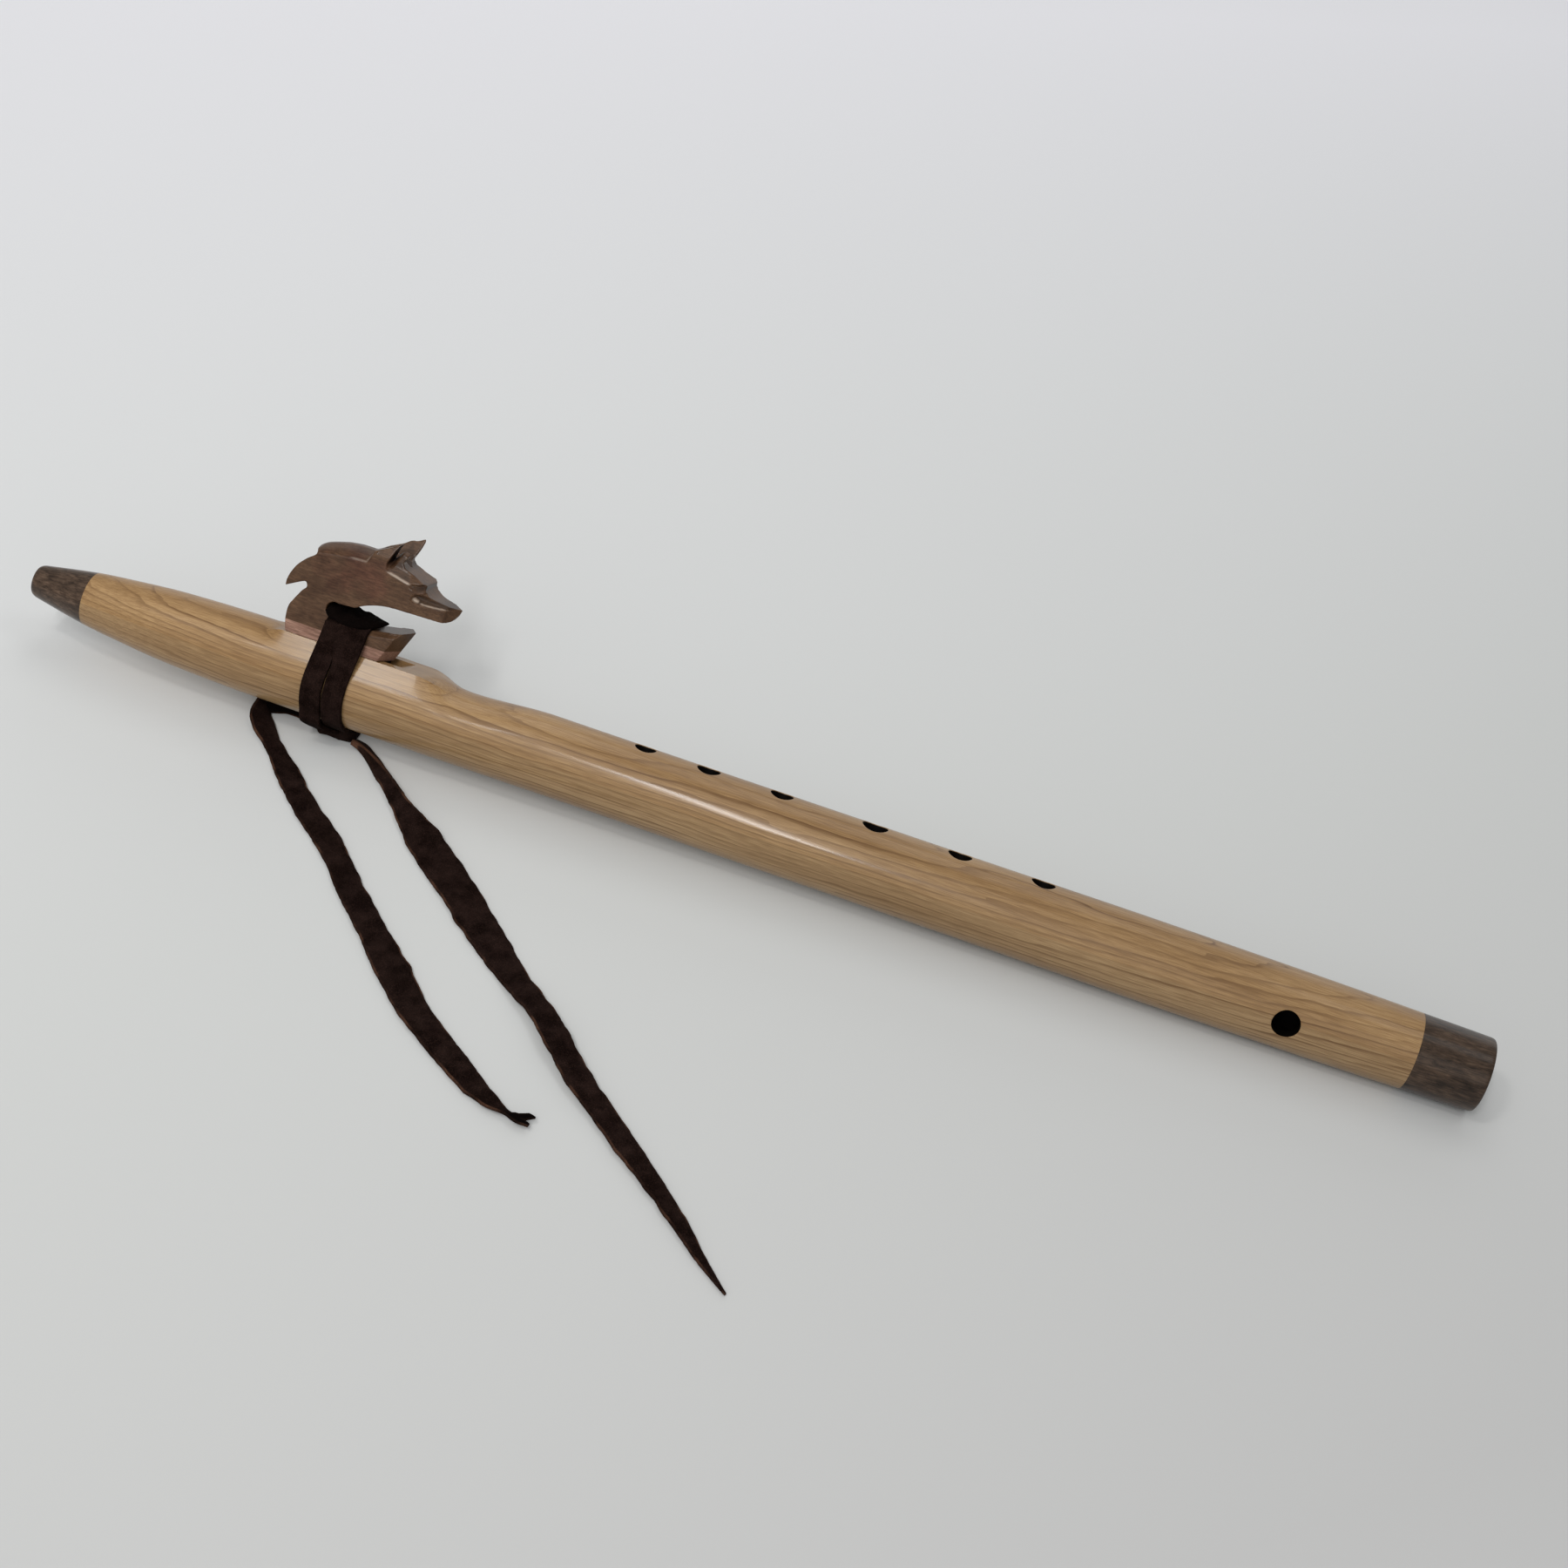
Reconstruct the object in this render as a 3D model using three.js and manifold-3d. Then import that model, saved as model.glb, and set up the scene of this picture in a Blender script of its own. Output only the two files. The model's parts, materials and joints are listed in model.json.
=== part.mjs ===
// Wooden two-chamber flute with a carved wolf head tied over its flue by a leather lace.
// Millimetres. In the flute's own frame X runs from the mouth end to the foot, the finger
// holes and the carving face +Z, and Y crosses the flute. The flute is then rolled back and
// laid on the table plane, z = 0, where it rests on its foot and on the lace's knot.
import * as THREE from "three";
import { mergeVertices } from "three/addons/utils/BufferGeometryUtils.js";
import Module from "manifold-3d";

const wasm = await Module();
wasm.setup();

// Overall sizes
const mm = 1;
const fluteLength = 584 * mm;
const bodyRadius = 15.5 * mm;
const rollBackAngle = (24 * Math.PI) / 180;

// Gaps between pieces
const glueGap = 0.1 * mm;
const fitGap = 0.15 * mm;
const slideGap = 0.2 * mm;
const laceGap = 0.3 * mm;
const cutOverrun = 1 * mm;

// Turned outline: share of the flute's length, then share of the body's radius
const outlineShares = [
  [0, 0.36],
  [0.0008, 0.385],
  [0.003, 0.418],
  [0.0375, 0.668],
  [0.06, 0.774],
  [0.0885, 0.884],
  [0.117, 0.942],
  [0.1455, 0.977],
  [0.161, 0.984],
  [0.2, 0.99],
  [0.29, 0.99],
  [0.38, 0.985],
  [0.517, 0.997],
  [0.688, 1.023],
  [0.756, 1.032],
  [0.842, 1.023],
  [0.899, 1.01],
  [0.95, 0.984],
  [0.9965, 0.96],
  [0.9992, 0.948],
  [1, 0.925],
];

// Mouth cap
const mouthCapLength = 21.9 * mm;
const mouthCapTenonLength = 7 * mm;
const blowHoleDiameter = 4.5 * mm;

// Foot cap
const footCapLength = 29.1 * mm;
const footCapTenonLength = 6 * mm;
const footCapTenonWall = 1.8 * mm;

// Chambers
const breathChamberDiameter = 14.5 * mm;
const soundBoreDiameter = 21.4 * mm;
const breathChamberWall = 25 * mm;

// Nest: the flat under the bird, its rounded run-in and the waist after it
const nestHeight = 15.3 * mm;
const nestHalfWidth = 9.3 * mm;
const nestFrom = 99 * mm;
const nestRunIn = 8 * mm;
const nestTo = 152 * mm;
const nestFall = 15 * mm;
const waistFall = 19 * mm;
const waistRise = 34 * mm;
const waistDepthShare = 0.145;

// Flue and sound hole in the nest
const flueWidth = 10 * mm;
const flueDepth = 0.9 * mm;
const exitHoleLength = 5 * mm;
const soundHoleFrom = 137.5 * mm;
const soundHoleLength = 4.5 * mm;
const soundEdgeHeight = 1.6 * mm;
const soundRampLength = 5 * mm;

// Finger holes: place as share of the flute's length, then share of the nominal diameter
const fingerHoleDiameter = 9.3 * mm;
const fingerHoleShares = [
  [0.4132, 0.893],
  [0.4568, 0.989],
  [0.5072, 0.968],
  [0.5714, 1.097],
  [0.6298, 1.022],
  [0.6872, 1.022],
];

// Direction hole in the flute's side
const directionHolePlace = 504.4 * mm;
const directionHoleDiameter = 11 * mm;
const directionHoleAngle = (96.5 * Math.PI) / 180;

// Bird: base board and wolf head, tied on the nest
const birdBack = 95.5 * mm;
const birdLength = 64.7 * mm;
const birdHeight = 47.7 * mm;
const birdHalfWidth = 9.3 * mm;
const birdBaseThickness = 4.7 * mm;
const saddleHeight = 13.3 * mm;
const saddleChamferWidth = 3.1 * mm;
const saddleChamferDrop = 2.9 * mm;
const prowLean = 5.8 * mm;
const prowDepth = 3.7 * mm;
const prowTop = 49.9 * mm;
const laceHoleRadius = 2.9 * mm;
const laceHoleRise = 0.6 * mm;
const laceSlotHeight = 3.2 * mm;

// Bird's motion along the nest
const slideForward = 1 * mm;
const slideBackward = 4 * mm;

// Lace: a flat deerskin strip wound twice round flute and bird
const laceWidth = 8.1 * mm;
const laceThickness = 1.4 * mm;
const lacePitch = 8.6 * mm;
const laceLayerGap = 0.45 * mm;
const laceFrom = 112.6 * mm;
const laceLean = 1.5 * mm;
const laceTopShift = 1.3 * mm;
const laceTurns = 2;
const laceStepsPerTurn = 24;
const laceEndShift = 4.3 * mm;
const laceStartAngle = (2 * Math.PI) / 180;
const laceFinishAngle = (46 * Math.PI) / 180;
const laceEndRun = (10 * Math.PI) / 180;
const laceEndTurn = (34 * Math.PI) / 180;
const laceEndLift = (20 * Math.PI) / 180;

// Knot
const knotLength = 18 * mm;
const knotThickness = 4.3 * mm;
const knotRounding = 1.4 * mm;
const knotBandWidth = 8.6 * mm;
const knotBandRise = 0.8 * mm;
const knotBandAngle = (28 * Math.PI) / 180;

// Strand: the lace's run under the flute, from the knot to where the left tail folds out
const strandLength = 16.1 * mm;
const strandWidth = 9 * mm;
const strandInset = 4 * mm;

// Tails: flat strips of the same lace that lie on the table
const tailWidth = 10 * mm;
const tailThickness = 1.4 * mm;
const tailStep = 7 * mm;

// Routes of the tails on the table, from the knot to the tip, measured from the knot's
// corner that points to the camera and to the foot
const leftTailRoute = [
  [-40.8, 18.0],
  [-41.3, 13.2],
  [-41.1, 8.0],
  [-38.7, 0.8],
  [-33.7, -7.6],
  [-25.6, -16.8],
  [-17.1, -26.6],
  [-8.3, -36.0],
  [1.0, -45.3],
  [10.6, -54.4],
  [19.6, -63.8],
  [28.2, -73.6],
  [37.0, -83.4],
  [45.9, -93.1],
  [54.6, -102.7],
  [63.4, -112.2],
  [72.6, -121.3],
  [82.5, -129.8],
  [92.8, -138.0],
  [103.6, -145.6],
  [114.6, -151.9],
  [125.6, -156.0],
];
const rightTailRoute = [
  [-1.2, 0.3],
  [2.8, -3.0],
  [7.0, -6.4],
  [18.6, -17.2],
  [30.7, -28.7],
  [42.9, -39.8],
  [55.2, -50.8],
  [67.1, -62.1],
  [78.8, -73.5],
  [90.5, -84.8],
  [102.2, -95.9],
  [113.7, -107.2],
  [124.9, -118.6],
  [136.4, -129.9],
  [148.4, -140.8],
  [160.6, -151.7],
  [172.9, -162.7],
  [185.0, -174.0],
  [196.9, -185.6],
  [208.6, -196.4],
];

// Counts of facets
const bodySides = 40;
const boreSides = 32;
const holeSides = 28;
const smallHoleSides = 20;

// Colours
const cherry = new THREE.MeshStandardMaterial({ color: 0xb98f68, roughness: 0.5 });
const cherryBelow = new THREE.MeshStandardMaterial({ color: 0xb08660, roughness: 0.5 });
const walnut = new THREE.MeshStandardMaterial({ color: 0x5e4a3e, roughness: 0.4 });
const carvedWalnut = new THREE.MeshStandardMaterial({ color: 0x7a6452, roughness: 0.5 });
const baseWood = new THREE.MeshStandardMaterial({ color: 0x9a7862, roughness: 0.5 });
const leather = new THREE.MeshStandardMaterial({ color: 0x2c1c17, roughness: 0.95 });
for (const material of [cherry, cherryBelow, walnut, carvedWalnut, baseWood, leather]) {
  material.flatShading = true;
}

// A geometry as a solid that can be cut and joined
function solid(geometry) {
  const bare = geometry.index ? geometry.toNonIndexed() : geometry.clone();
  bare.deleteAttribute("normal");
  bare.deleteAttribute("uv");
  const merged = mergeVertices(bare, mm / 10000);
  return new wasm.Manifold(
    new wasm.Mesh({
      numProp: 3,
      vertProperties: merged.attributes.position.array,
      triVerts: new Uint32Array(merged.index.array),
    }),
  );
}

// A solid as a named mesh
function mesh(name, made, material) {
  const data = made.getMesh();
  const geometry = new THREE.BufferGeometry();
  geometry.setAttribute("position", new THREE.BufferAttribute(data.vertProperties, data.numProp));
  geometry.setIndex(new THREE.BufferAttribute(data.triVerts, 1));
  const piece = new THREE.Mesh(geometry, material);
  piece.name = name;
  return piece;
}

// A revolve about the flute's axis from [place, radius] pairs that start and end on the axis
function turned(profile, sides) {
  const points = profile.map(([x, r]) => new THREE.Vector2(r, x));
  return solid(new THREE.LatheGeometry(points, sides).rotateZ(-Math.PI / 2));
}

// A plain bore along the flute
function bore(from, to, radius, sides) {
  return turned([[from, 0], [from, radius], [to, radius], [to, 0]], sides);
}

// A polygon drawn on the plane of two axes and carried along the third
const axisX = new THREE.Vector3(1, 0, 0);
const axisY = new THREE.Vector3(0, 1, 0);
const axisZ = new THREE.Vector3(0, 0, 1);

function prism(points, across, up, from, to) {
  const shape = new THREE.Shape(points.map(([a, b]) => new THREE.Vector2(a, b)));
  const along = new THREE.Vector3().crossVectors(across, up);
  const geometry = new THREE.ExtrudeGeometry(shape, { depth: to - from, bevelEnabled: false });
  geometry.translate(0, 0, from);
  geometry.applyMatrix4(new THREE.Matrix4().makeBasis(across, up, along));
  return solid(geometry);
}

// Side view outlines run in X and Z, plan outlines in X and Y, end views in Y and Z
const sideView = (points, halfWidth) => prism(points, axisX, axisZ, -halfWidth, halfWidth);
const planView = (points, from, to) => prism(points, axisX, axisY, from, to);
const endView = (points, from, to) => prism(points, axisY, axisZ, from, to);
const mirrored = (points) => points.map(([a, b]) => [-a, b]).reverse();
const mirroredPlan = (points) => points.map(([a, b]) => [a, -b]).reverse();

// Smooth step between two places
function ease(value, from, to) {
  const t = Math.min(Math.max((value - from) / (to - from), 0), 1);
  return t * t * (3 - 2 * t);
}

// Radius of the turned outline at a place, by a smooth curve through the shares
function radiusAt(x) {
  const share = x / fluteLength;
  const last = outlineShares.length - 2;
  let k = 0;
  while (k < last && share > outlineShares[k + 1][0]) k += 1;
  const before = outlineShares[Math.max(k - 1, 0)];
  const start = outlineShares[k];
  const end = outlineShares[k + 1];
  const after = outlineShares[Math.min(k + 2, last + 1)];
  const run = end[0] - start[0];
  const t = (share - start[0]) / run;
  const straight = (end[1] - start[1]) / run;
  const slopeIn = k === 0 ? straight : (end[1] - before[1]) / (end[0] - before[0]);
  const slopeOut = k === last ? straight : (after[1] - start[1]) / (after[0] - start[0]);
  const a = start[1] * (2 * t ** 3 - 3 * t ** 2 + 1);
  const b = slopeIn * run * (t ** 3 - 2 * t ** 2 + t);
  const c = end[1] * (3 * t ** 2 - 2 * t ** 3);
  const d = slopeOut * run * (t ** 3 - t ** 2);
  return bodyRadius * (a + b + c + d);
}

// Evenly spread places between two marks
function spread(from, to, count) {
  return Array.from({ length: count }, (_, k) => from + ((to - from) * k) / count);
}

// Body: a loft of sections that are round but for the nest's shoulders and the waist
const bodyFrom = mouthCapLength;
const bodyTo = fluteLength - footCapLength;
const nestCornerAngle = Math.atan2(nestHalfWidth, nestHeight);
const nestCornerReach = Math.hypot(nestHalfWidth, nestHeight);

function sectionRadius(x, angle) {
  const radius = radiusAt(x);
  const around = Math.abs(angle);
  if (around >= Math.PI / 2) return radius;
  const dip = x < nestTo + waistFall
    ? ease(x, nestTo, nestTo + waistFall)
    : 1 - ease(x, nestTo + waistFall, nestTo + waistFall + waistRise);
  const rise = radius * (1 - waistDepthShare * dip);
  const oval = 1 / Math.hypot(Math.cos(angle) / rise, Math.sin(angle) / radius);
  const nest = ease(x, nestFrom - nestRunIn, nestFrom) * (1 - ease(x, nestTo, nestTo + nestFall));
  if (nest === 0) return oval;
  const seat = Math.min(radius / nestCornerReach, 1);
  const tangentAngle = nestCornerAngle + Math.acos(seat);
  const shoulder = around < tangentAngle ? radius / Math.cos(around - tangentAngle) : radius;
  const shaped = Math.min(shoulder, nestHeight / Math.cos(angle));
  return oval * (1 - nest) + shaped * nest;
}

function sectionAngles() {
  const quarter = bodySides / 4;
  const top = quarter / 2;
  const half = [
    ...spread(0, nestCornerAngle, top),
    ...spread(nestCornerAngle, Math.PI / 2, quarter - top),
    ...spread(Math.PI / 2, Math.PI, quarter),
    Math.PI,
  ];
  return [...half, ...half.slice(1, -1).reverse().map((angle) => -angle)];
}

function loftedBody() {
  const places = [
    ...spread(bodyFrom, nestFrom - nestRunIn, 8),
    ...spread(nestFrom - nestRunIn, nestFrom, 4),
    ...spread(nestFrom, nestTo, 3),
    ...spread(nestTo, nestTo + waistFall, 8),
    ...spread(nestTo + waistFall, nestTo + waistFall + waistRise, 5),
    ...spread(nestTo + waistFall + waistRise, bodyTo, 12),
    bodyTo,
  ];
  const angles = sectionAngles();
  const positions = [];
  for (const x of places) {
    for (const angle of angles) {
      const r = sectionRadius(x, angle);
      positions.push(x, r * Math.sin(angle), r * Math.cos(angle));
    }
  }
  const count = angles.length;
  const startCentre = positions.length / 3;
  positions.push(bodyFrom, 0, 0, bodyTo, 0, 0);
  const triangles = [];
  const lastRing = (places.length - 1) * count;
  for (let i = 0; i < count; i += 1) {
    const next = (i + 1) % count;
    for (let ring = 0; ring < lastRing; ring += count) {
      triangles.push(ring + i, ring + count + i, ring + next);
      triangles.push(ring + next, ring + count + i, ring + count + next);
    }
    triangles.push(startCentre, i, next);
    triangles.push(startCentre + 1, lastRing + next, lastRing + i);
  }
  const geometry = new THREE.BufferGeometry();
  geometry.setAttribute("position", new THREE.Float32BufferAttribute(positions, 3));
  geometry.setIndex(triangles);
  return solid(geometry);
}

// Body: chambers, flue, sound hole and finger holes
const soundBoreRadius = soundBoreDiameter / 2;
const breathRadius = breathChamberDiameter / 2;
const exitHoleFrom = soundHoleFrom - breathChamberWall - exitHoleLength;
const exitHoleTo = exitHoleFrom + exitHoleLength;
const tenonRadius = soundBoreRadius + footCapTenonWall;
const soundEdge = soundHoleFrom + soundHoleLength;

function boxCut(xFrom, xTo, halfWidth, zFrom, zTo) {
  return sideView([[xFrom, zFrom], [xTo, zFrom], [xTo, zTo], [xFrom, zTo]], halfWidth);
}

function roundHole(place, diameter, angle) {
  const depth = bodyRadius * 2;
  const geometry = new THREE.CylinderGeometry(diameter / 2, diameter / 2, depth, holeSides);
  geometry.rotateX(Math.PI / 2);
  geometry.translate(0, 0, depth / 2);
  geometry.rotateX(angle);
  geometry.translate(place, 0, 0);
  return solid(geometry);
}

let body = loftedBody();
const cuts = [
  bore(bodyFrom - cutOverrun, exitHoleTo, breathRadius, boreSides),
  bore(soundHoleFrom, bodyTo + cutOverrun, soundBoreRadius, boreSides),
  bore(bodyTo - footCapTenonLength - fitGap, bodyTo + cutOverrun, tenonRadius + fitGap, boreSides),
  boxCut(exitHoleFrom, exitHoleTo, flueWidth / 2, 0, nestHeight + cutOverrun),
  boxCut(exitHoleFrom, soundEdge, flueWidth / 2, nestHeight - flueDepth, nestHeight + cutOverrun),
  boxCut(soundHoleFrom, soundEdge, flueWidth / 2, 0, nestHeight + cutOverrun),
  sideView(
    [
      [soundEdge - cutOverrun / 2, nestHeight - soundEdgeHeight],
      [soundEdge, nestHeight - soundEdgeHeight],
      [soundEdge + soundRampLength, nestHeight],
      [soundEdge + soundRampLength, nestHeight + cutOverrun],
      [soundEdge - cutOverrun / 2, nestHeight + cutOverrun],
    ],
    flueWidth / 2,
  ),
  ...fingerHoleShares.map(([place, size]) =>
    roundHole(fluteLength * place, fingerHoleDiameter * size, 0),
  ),
  roundHole(directionHolePlace, directionHoleDiameter, directionHoleAngle),
];
for (const cut of cuts) body = body.subtract(cut);

// Body: the two glued halves
const halfReach = bodyRadius * 2;
const upperHalf = body.intersect(boxCut(0, fluteLength, halfReach, glueGap / 2, halfReach));
const lowerHalf = body.intersect(boxCut(0, fluteLength, halfReach, -halfReach, -glueGap / 2));

// Caps: the ends of the same outline, with tenons
function outlineBetween(from, to) {
  const inside = outlineShares
    .map(([share]) => share * fluteLength)
    .filter((x) => x > from && x < to);
  return [from, ...inside, to].map((x) => [x, radiusAt(x)]);
}

const mouthTenonTo = mouthCapLength - glueGap + mouthCapTenonLength;
const mouthCap = turned(
  [
    [0, 0],
    ...outlineBetween(0, mouthCapLength - glueGap),
    [mouthCapLength - glueGap, breathRadius - fitGap],
    [mouthTenonTo, breathRadius - fitGap],
    [mouthTenonTo, 0],
  ],
  bodySides,
).subtract(bore(-cutOverrun, mouthTenonTo + cutOverrun, blowHoleDiameter / 2, smallHoleSides));

const footCapFrom = bodyTo + glueGap;
const footTenonFrom = footCapFrom - footCapTenonLength;
const footCap = turned(
  [
    [footTenonFrom, 0],
    [footTenonFrom, tenonRadius],
    [footCapFrom, tenonRadius],
    ...outlineBetween(footCapFrom, fluteLength),
    [fluteLength, 0],
  ],
  bodySides,
).subtract(
  bore(footTenonFrom - cutOverrun, fluteLength + cutOverrun, soundBoreRadius, boreSides),
);

// Bird: side outline of head, neck and mane above the saddle, from the base's back edge
// round to the slot, as shares of the bird's length and height
const headShares = [
  [0.062, 0.000],
  [0.048, 0.078],
  [0.043, 0.151],
  [0.048, 0.214],
  [0.065, 0.264],
  [0.102, 0.356],
  [0.124, 0.392],
  [0.117, 0.426],
  [0.099, 0.430],
  [0.000, 0.354],
  [0.005, 0.432],
  [0.036, 0.532],
  [0.085, 0.612],
  [0.131, 0.665],
  [0.133, 0.694],
  [0.110, 0.715],
  [0.134, 0.742],
  [0.175, 0.765],
  [0.258, 0.799],
  [0.338, 0.816],
  [0.422, 0.818],
  [0.473, 0.857],
  [0.544, 0.910],
  [0.581, 0.948],
  [0.623, 0.966],
  [0.663, 1.000],
  [0.666, 0.971],
  [0.648, 0.887],
  [0.624, 0.816],
  [0.643, 0.778],
  [0.703, 0.748],
  [0.791, 0.700],
  [0.790, 0.662],
  [0.827, 0.618],
  [0.896, 0.595],
  [1.000, 0.574],
  [0.989, 0.528],
  [0.963, 0.472],
  [0.926, 0.451],
  [0.830, 0.453],
  [0.730, 0.457],
  [0.634, 0.453],
  [0.556, 0.436],
  [0.479, 0.400],
  [0.425, 0.358],
];
const birdX = (share) => birdBack + birdLength * share;
const birdZ = (share) => nestHeight + birdHeight * share;
const saddleTop = nestHeight + saddleHeight;
const birdFloor = nestHeight + slideGap;
const prowFoot = birdBack + prowTop - prowLean;
const laceHoleX = laceFrom + laceTopShift - slideForward - laceGap + laceHoleRadius;
const laceHoleZ = saddleTop + laceHoleRise;

// Lace hole and slot between saddle and throat
const slotOutline = [
  [laceHoleX, saddleTop],
  [birdBack + prowTop + cutOverrun, saddleTop],
  [birdBack + prowTop + cutOverrun, saddleTop + laceSlotHeight],
  [laceHoleX, saddleTop + laceSlotHeight],
];
const laceHole = solid(
  new THREE.CylinderGeometry(laceHoleRadius, laceHoleRadius, birdHalfWidth * 3, holeSides),
).translate([laceHoleX, 0, laceHoleZ]);

// Head and saddle as one block, seen from the side
const birdOutline = [
  ...headShares.map(([a, b]) => [birdX(a), birdZ(b)]),
  [laceHoleX, saddleTop + laceSlotHeight],
  [laceHoleX, saddleTop],
  [birdBack + prowTop, saddleTop],
  [prowFoot, nestHeight],
];
let bird = sideView(birdOutline, birdHalfWidth);
bird = bird.subtract(laceHole).subtract(sideView(slotOutline, birdHalfWidth * 2));

// Cutters that follow the block's width, each with its mirror image
const side = birdHalfWidth + cutOverrun;
const pairs = [];
function cutBothEnds(points, from, to) {
  pairs.push(endView(points, from, to), endView(mirrored(points), from, to));
}
function cutBothPlans(points, from, to) {
  pairs.push(planView(points, from, to), planView(mirroredPlan(points), from, to));
}

// Saddle: chamfered top edges and a pointed, forward leaning prow
cutBothEnds(
  [
    [birdHalfWidth - saddleChamferWidth, saddleTop + cutOverrun / 10],
    [birdHalfWidth + cutOverrun / 10, saddleTop - saddleChamferDrop],
    [side, saddleTop - saddleChamferDrop],
    [side, saddleTop + cutOverrun / 10],
  ],
  laceHoleX - laceHoleRadius,
  birdBack + prowTop + cutOverrun,
);
const prowCutter = planView(
  [
    [prowFoot + cutOverrun / 10, 0],
    [prowFoot - prowDepth, birdHalfWidth],
    [prowFoot - prowDepth - cutOverrun, side + cutOverrun],
    [prowFoot + birdLength, side + cutOverrun],
    [prowFoot + birdLength, 0],
  ],
  0,
  saddleHeight + laceSlotHeight / 2,
);
const lean = new THREE.Matrix4().set(
  1, 0, prowLean / saddleHeight, 0,
  0, 1, 0, 0,
  0, 0, 1, nestHeight,
  0, 0, 0, 1,
);
const leaning = prowCutter.transform(lean.elements);
pairs.push(leaning, leaning.mirror([0, 1, 0]));

// Head: mane chamfers, ears, brow, muzzle and nose
const maneTopShare = 0.82;
const maneSideShare = 0.68;
const maneChamferShare = 0.46;
const earRootShare = 0.47;
const earFrontShare = 0.68;
const earNotchShare = 0.77;
const earTipShare = 0.64;
const earHalfGapShare = 0.36;
const browWidthShare = 0.66;
const browStepShare = 0.544;
const cheekBackShare = 0.715;
const cheekFrontShare = 0.66;
const muzzleBackShare = 0.72;
const muzzleWidthShare = 0.84;
const noseWidthShare = 0.42;
const lipShare = 0.558;
const lipInsetShare = 0.12;
const headTop = birdZ(1) + cutOverrun;
cutBothEnds(
  [
    [birdHalfWidth * (1 - maneChamferShare), birdZ(maneTopShare)],
    [birdHalfWidth + cutOverrun / 10, birdZ(maneSideShare)],
    [side, birdZ(maneSideShare)],
    [side, headTop],
    [birdHalfWidth * (1 - maneChamferShare), headTop],
  ],
  birdBack - cutOverrun,
  birdX(earRootShare),
);
cutBothEnds(
  [
    [birdHalfWidth, birdZ(maneTopShare)],
    [side, birdZ(maneTopShare)],
    [side, headTop],
    [birdHalfWidth * earTipShare, headTop],
  ],
  birdX(earRootShare),
  birdX(1),
);
pairs.push(
  endView(
    [
      [0, birdZ(earNotchShare)],
      [birdHalfWidth * earHalfGapShare, birdZ(maneTopShare)],
      [birdHalfWidth * earTipShare, headTop],
      [-birdHalfWidth * earTipShare, headTop],
      [-birdHalfWidth * earHalfGapShare, birdZ(maneTopShare)],
    ],
    birdX(earRootShare),
    birdX(earFrontShare),
  ),
);
const browCutter = sideView(
  [
    [birdX(browStepShare), birdZ(cheekBackShare)],
    [birdX(muzzleBackShare), birdZ(cheekFrontShare)],
    [birdX(1) + cutOverrun, birdZ(cheekFrontShare)],
    [birdX(1) + cutOverrun, headTop],
    [birdX(browStepShare + (1 - earNotchShare) / 2), headTop],
  ],
  (birdHalfWidth * (1 - browWidthShare)) / 2 + cutOverrun / 2,
);
const browOffset = (birdHalfWidth * (1 + browWidthShare)) / 2 + cutOverrun / 2;
pairs.push(browCutter.translate([0, browOffset, 0]), browCutter.translate([0, -browOffset, 0]));
cutBothPlans(
  [
    [birdX(muzzleBackShare), birdHalfWidth],
    [birdX(1) + cutOverrun, birdHalfWidth * noseWidthShare],
    [birdX(1) + cutOverrun, side],
    [birdX(muzzleBackShare), side],
  ],
  saddleTop + laceSlotHeight,
  headTop,
);
cutBothPlans(
  [
    [birdX(muzzleBackShare), birdHalfWidth],
    [birdX(muzzleWidthShare), birdHalfWidth * (browWidthShare - lipInsetShare)],
    [birdX(1) + cutOverrun, birdHalfWidth * (noseWidthShare - lipInsetShare / 2)],
    [birdX(1) + cutOverrun, side],
    [birdX(muzzleBackShare), side],
  ],
  birdZ(lipShare),
  birdZ(cheekFrontShare) + cutOverrun,
);
for (const cut of pairs) bird = bird.subtract(cut);

// Bird: the base board is a layer of the same block
const baseTop = nestHeight + birdBaseThickness;
const birdReach = birdBack + birdLength + cutOverrun;
const birdBase = bird.intersect(
  boxCut(birdBack - cutOverrun, birdReach, side, birdFloor, baseTop - glueGap / 2),
);
const birdHead = bird.intersect(
  boxCut(birdBack - cutOverrun, birdReach, side, baseTop + glueGap / 2, headTop + cutOverrun),
);

// Lace winding: its path hugs the convex hull of the tube and the saddle's corners
const laceSeatRadius = radiusAt(laceFrom + lacePitch * laceTurns);
const hullCorners = [
  [birdHalfWidth - saddleChamferWidth, saddleTop],
  [birdHalfWidth, saddleTop - saddleChamferDrop],
  [saddleChamferWidth - birdHalfWidth, saddleTop],
  [-birdHalfWidth, saddleTop - saddleChamferDrop],
];

function support(angle) {
  const y = -Math.sin(angle);
  const z = Math.cos(angle);
  let best = [y * laceSeatRadius, z * laceSeatRadius];
  let reach = laceSeatRadius;
  let which = -1;
  hullCorners.forEach(([cy, cz], k) => {
    const along = cy * y + cz * z;
    if (along > reach) {
      reach = along;
      best = [cy, cz];
      which = k;
    }
  });
  return { point: best, which, normal: [y, z] };
}

// Unwrapped angle: zero under the flute, a quarter turn at the camera's side, half at the top
const fullTurn = Math.PI * 2;
const lacePathStart = laceStartAngle;
const laceCorner = [birdHalfWidth, saddleTop - saddleChamferDrop];
const laceDescent = Math.atan2(...laceCorner) + Math.acos(laceSeatRadius / Math.hypot(...laceCorner));
const lacePathEnd = fullTurn * laceTurns - laceFinishAngle;

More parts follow.
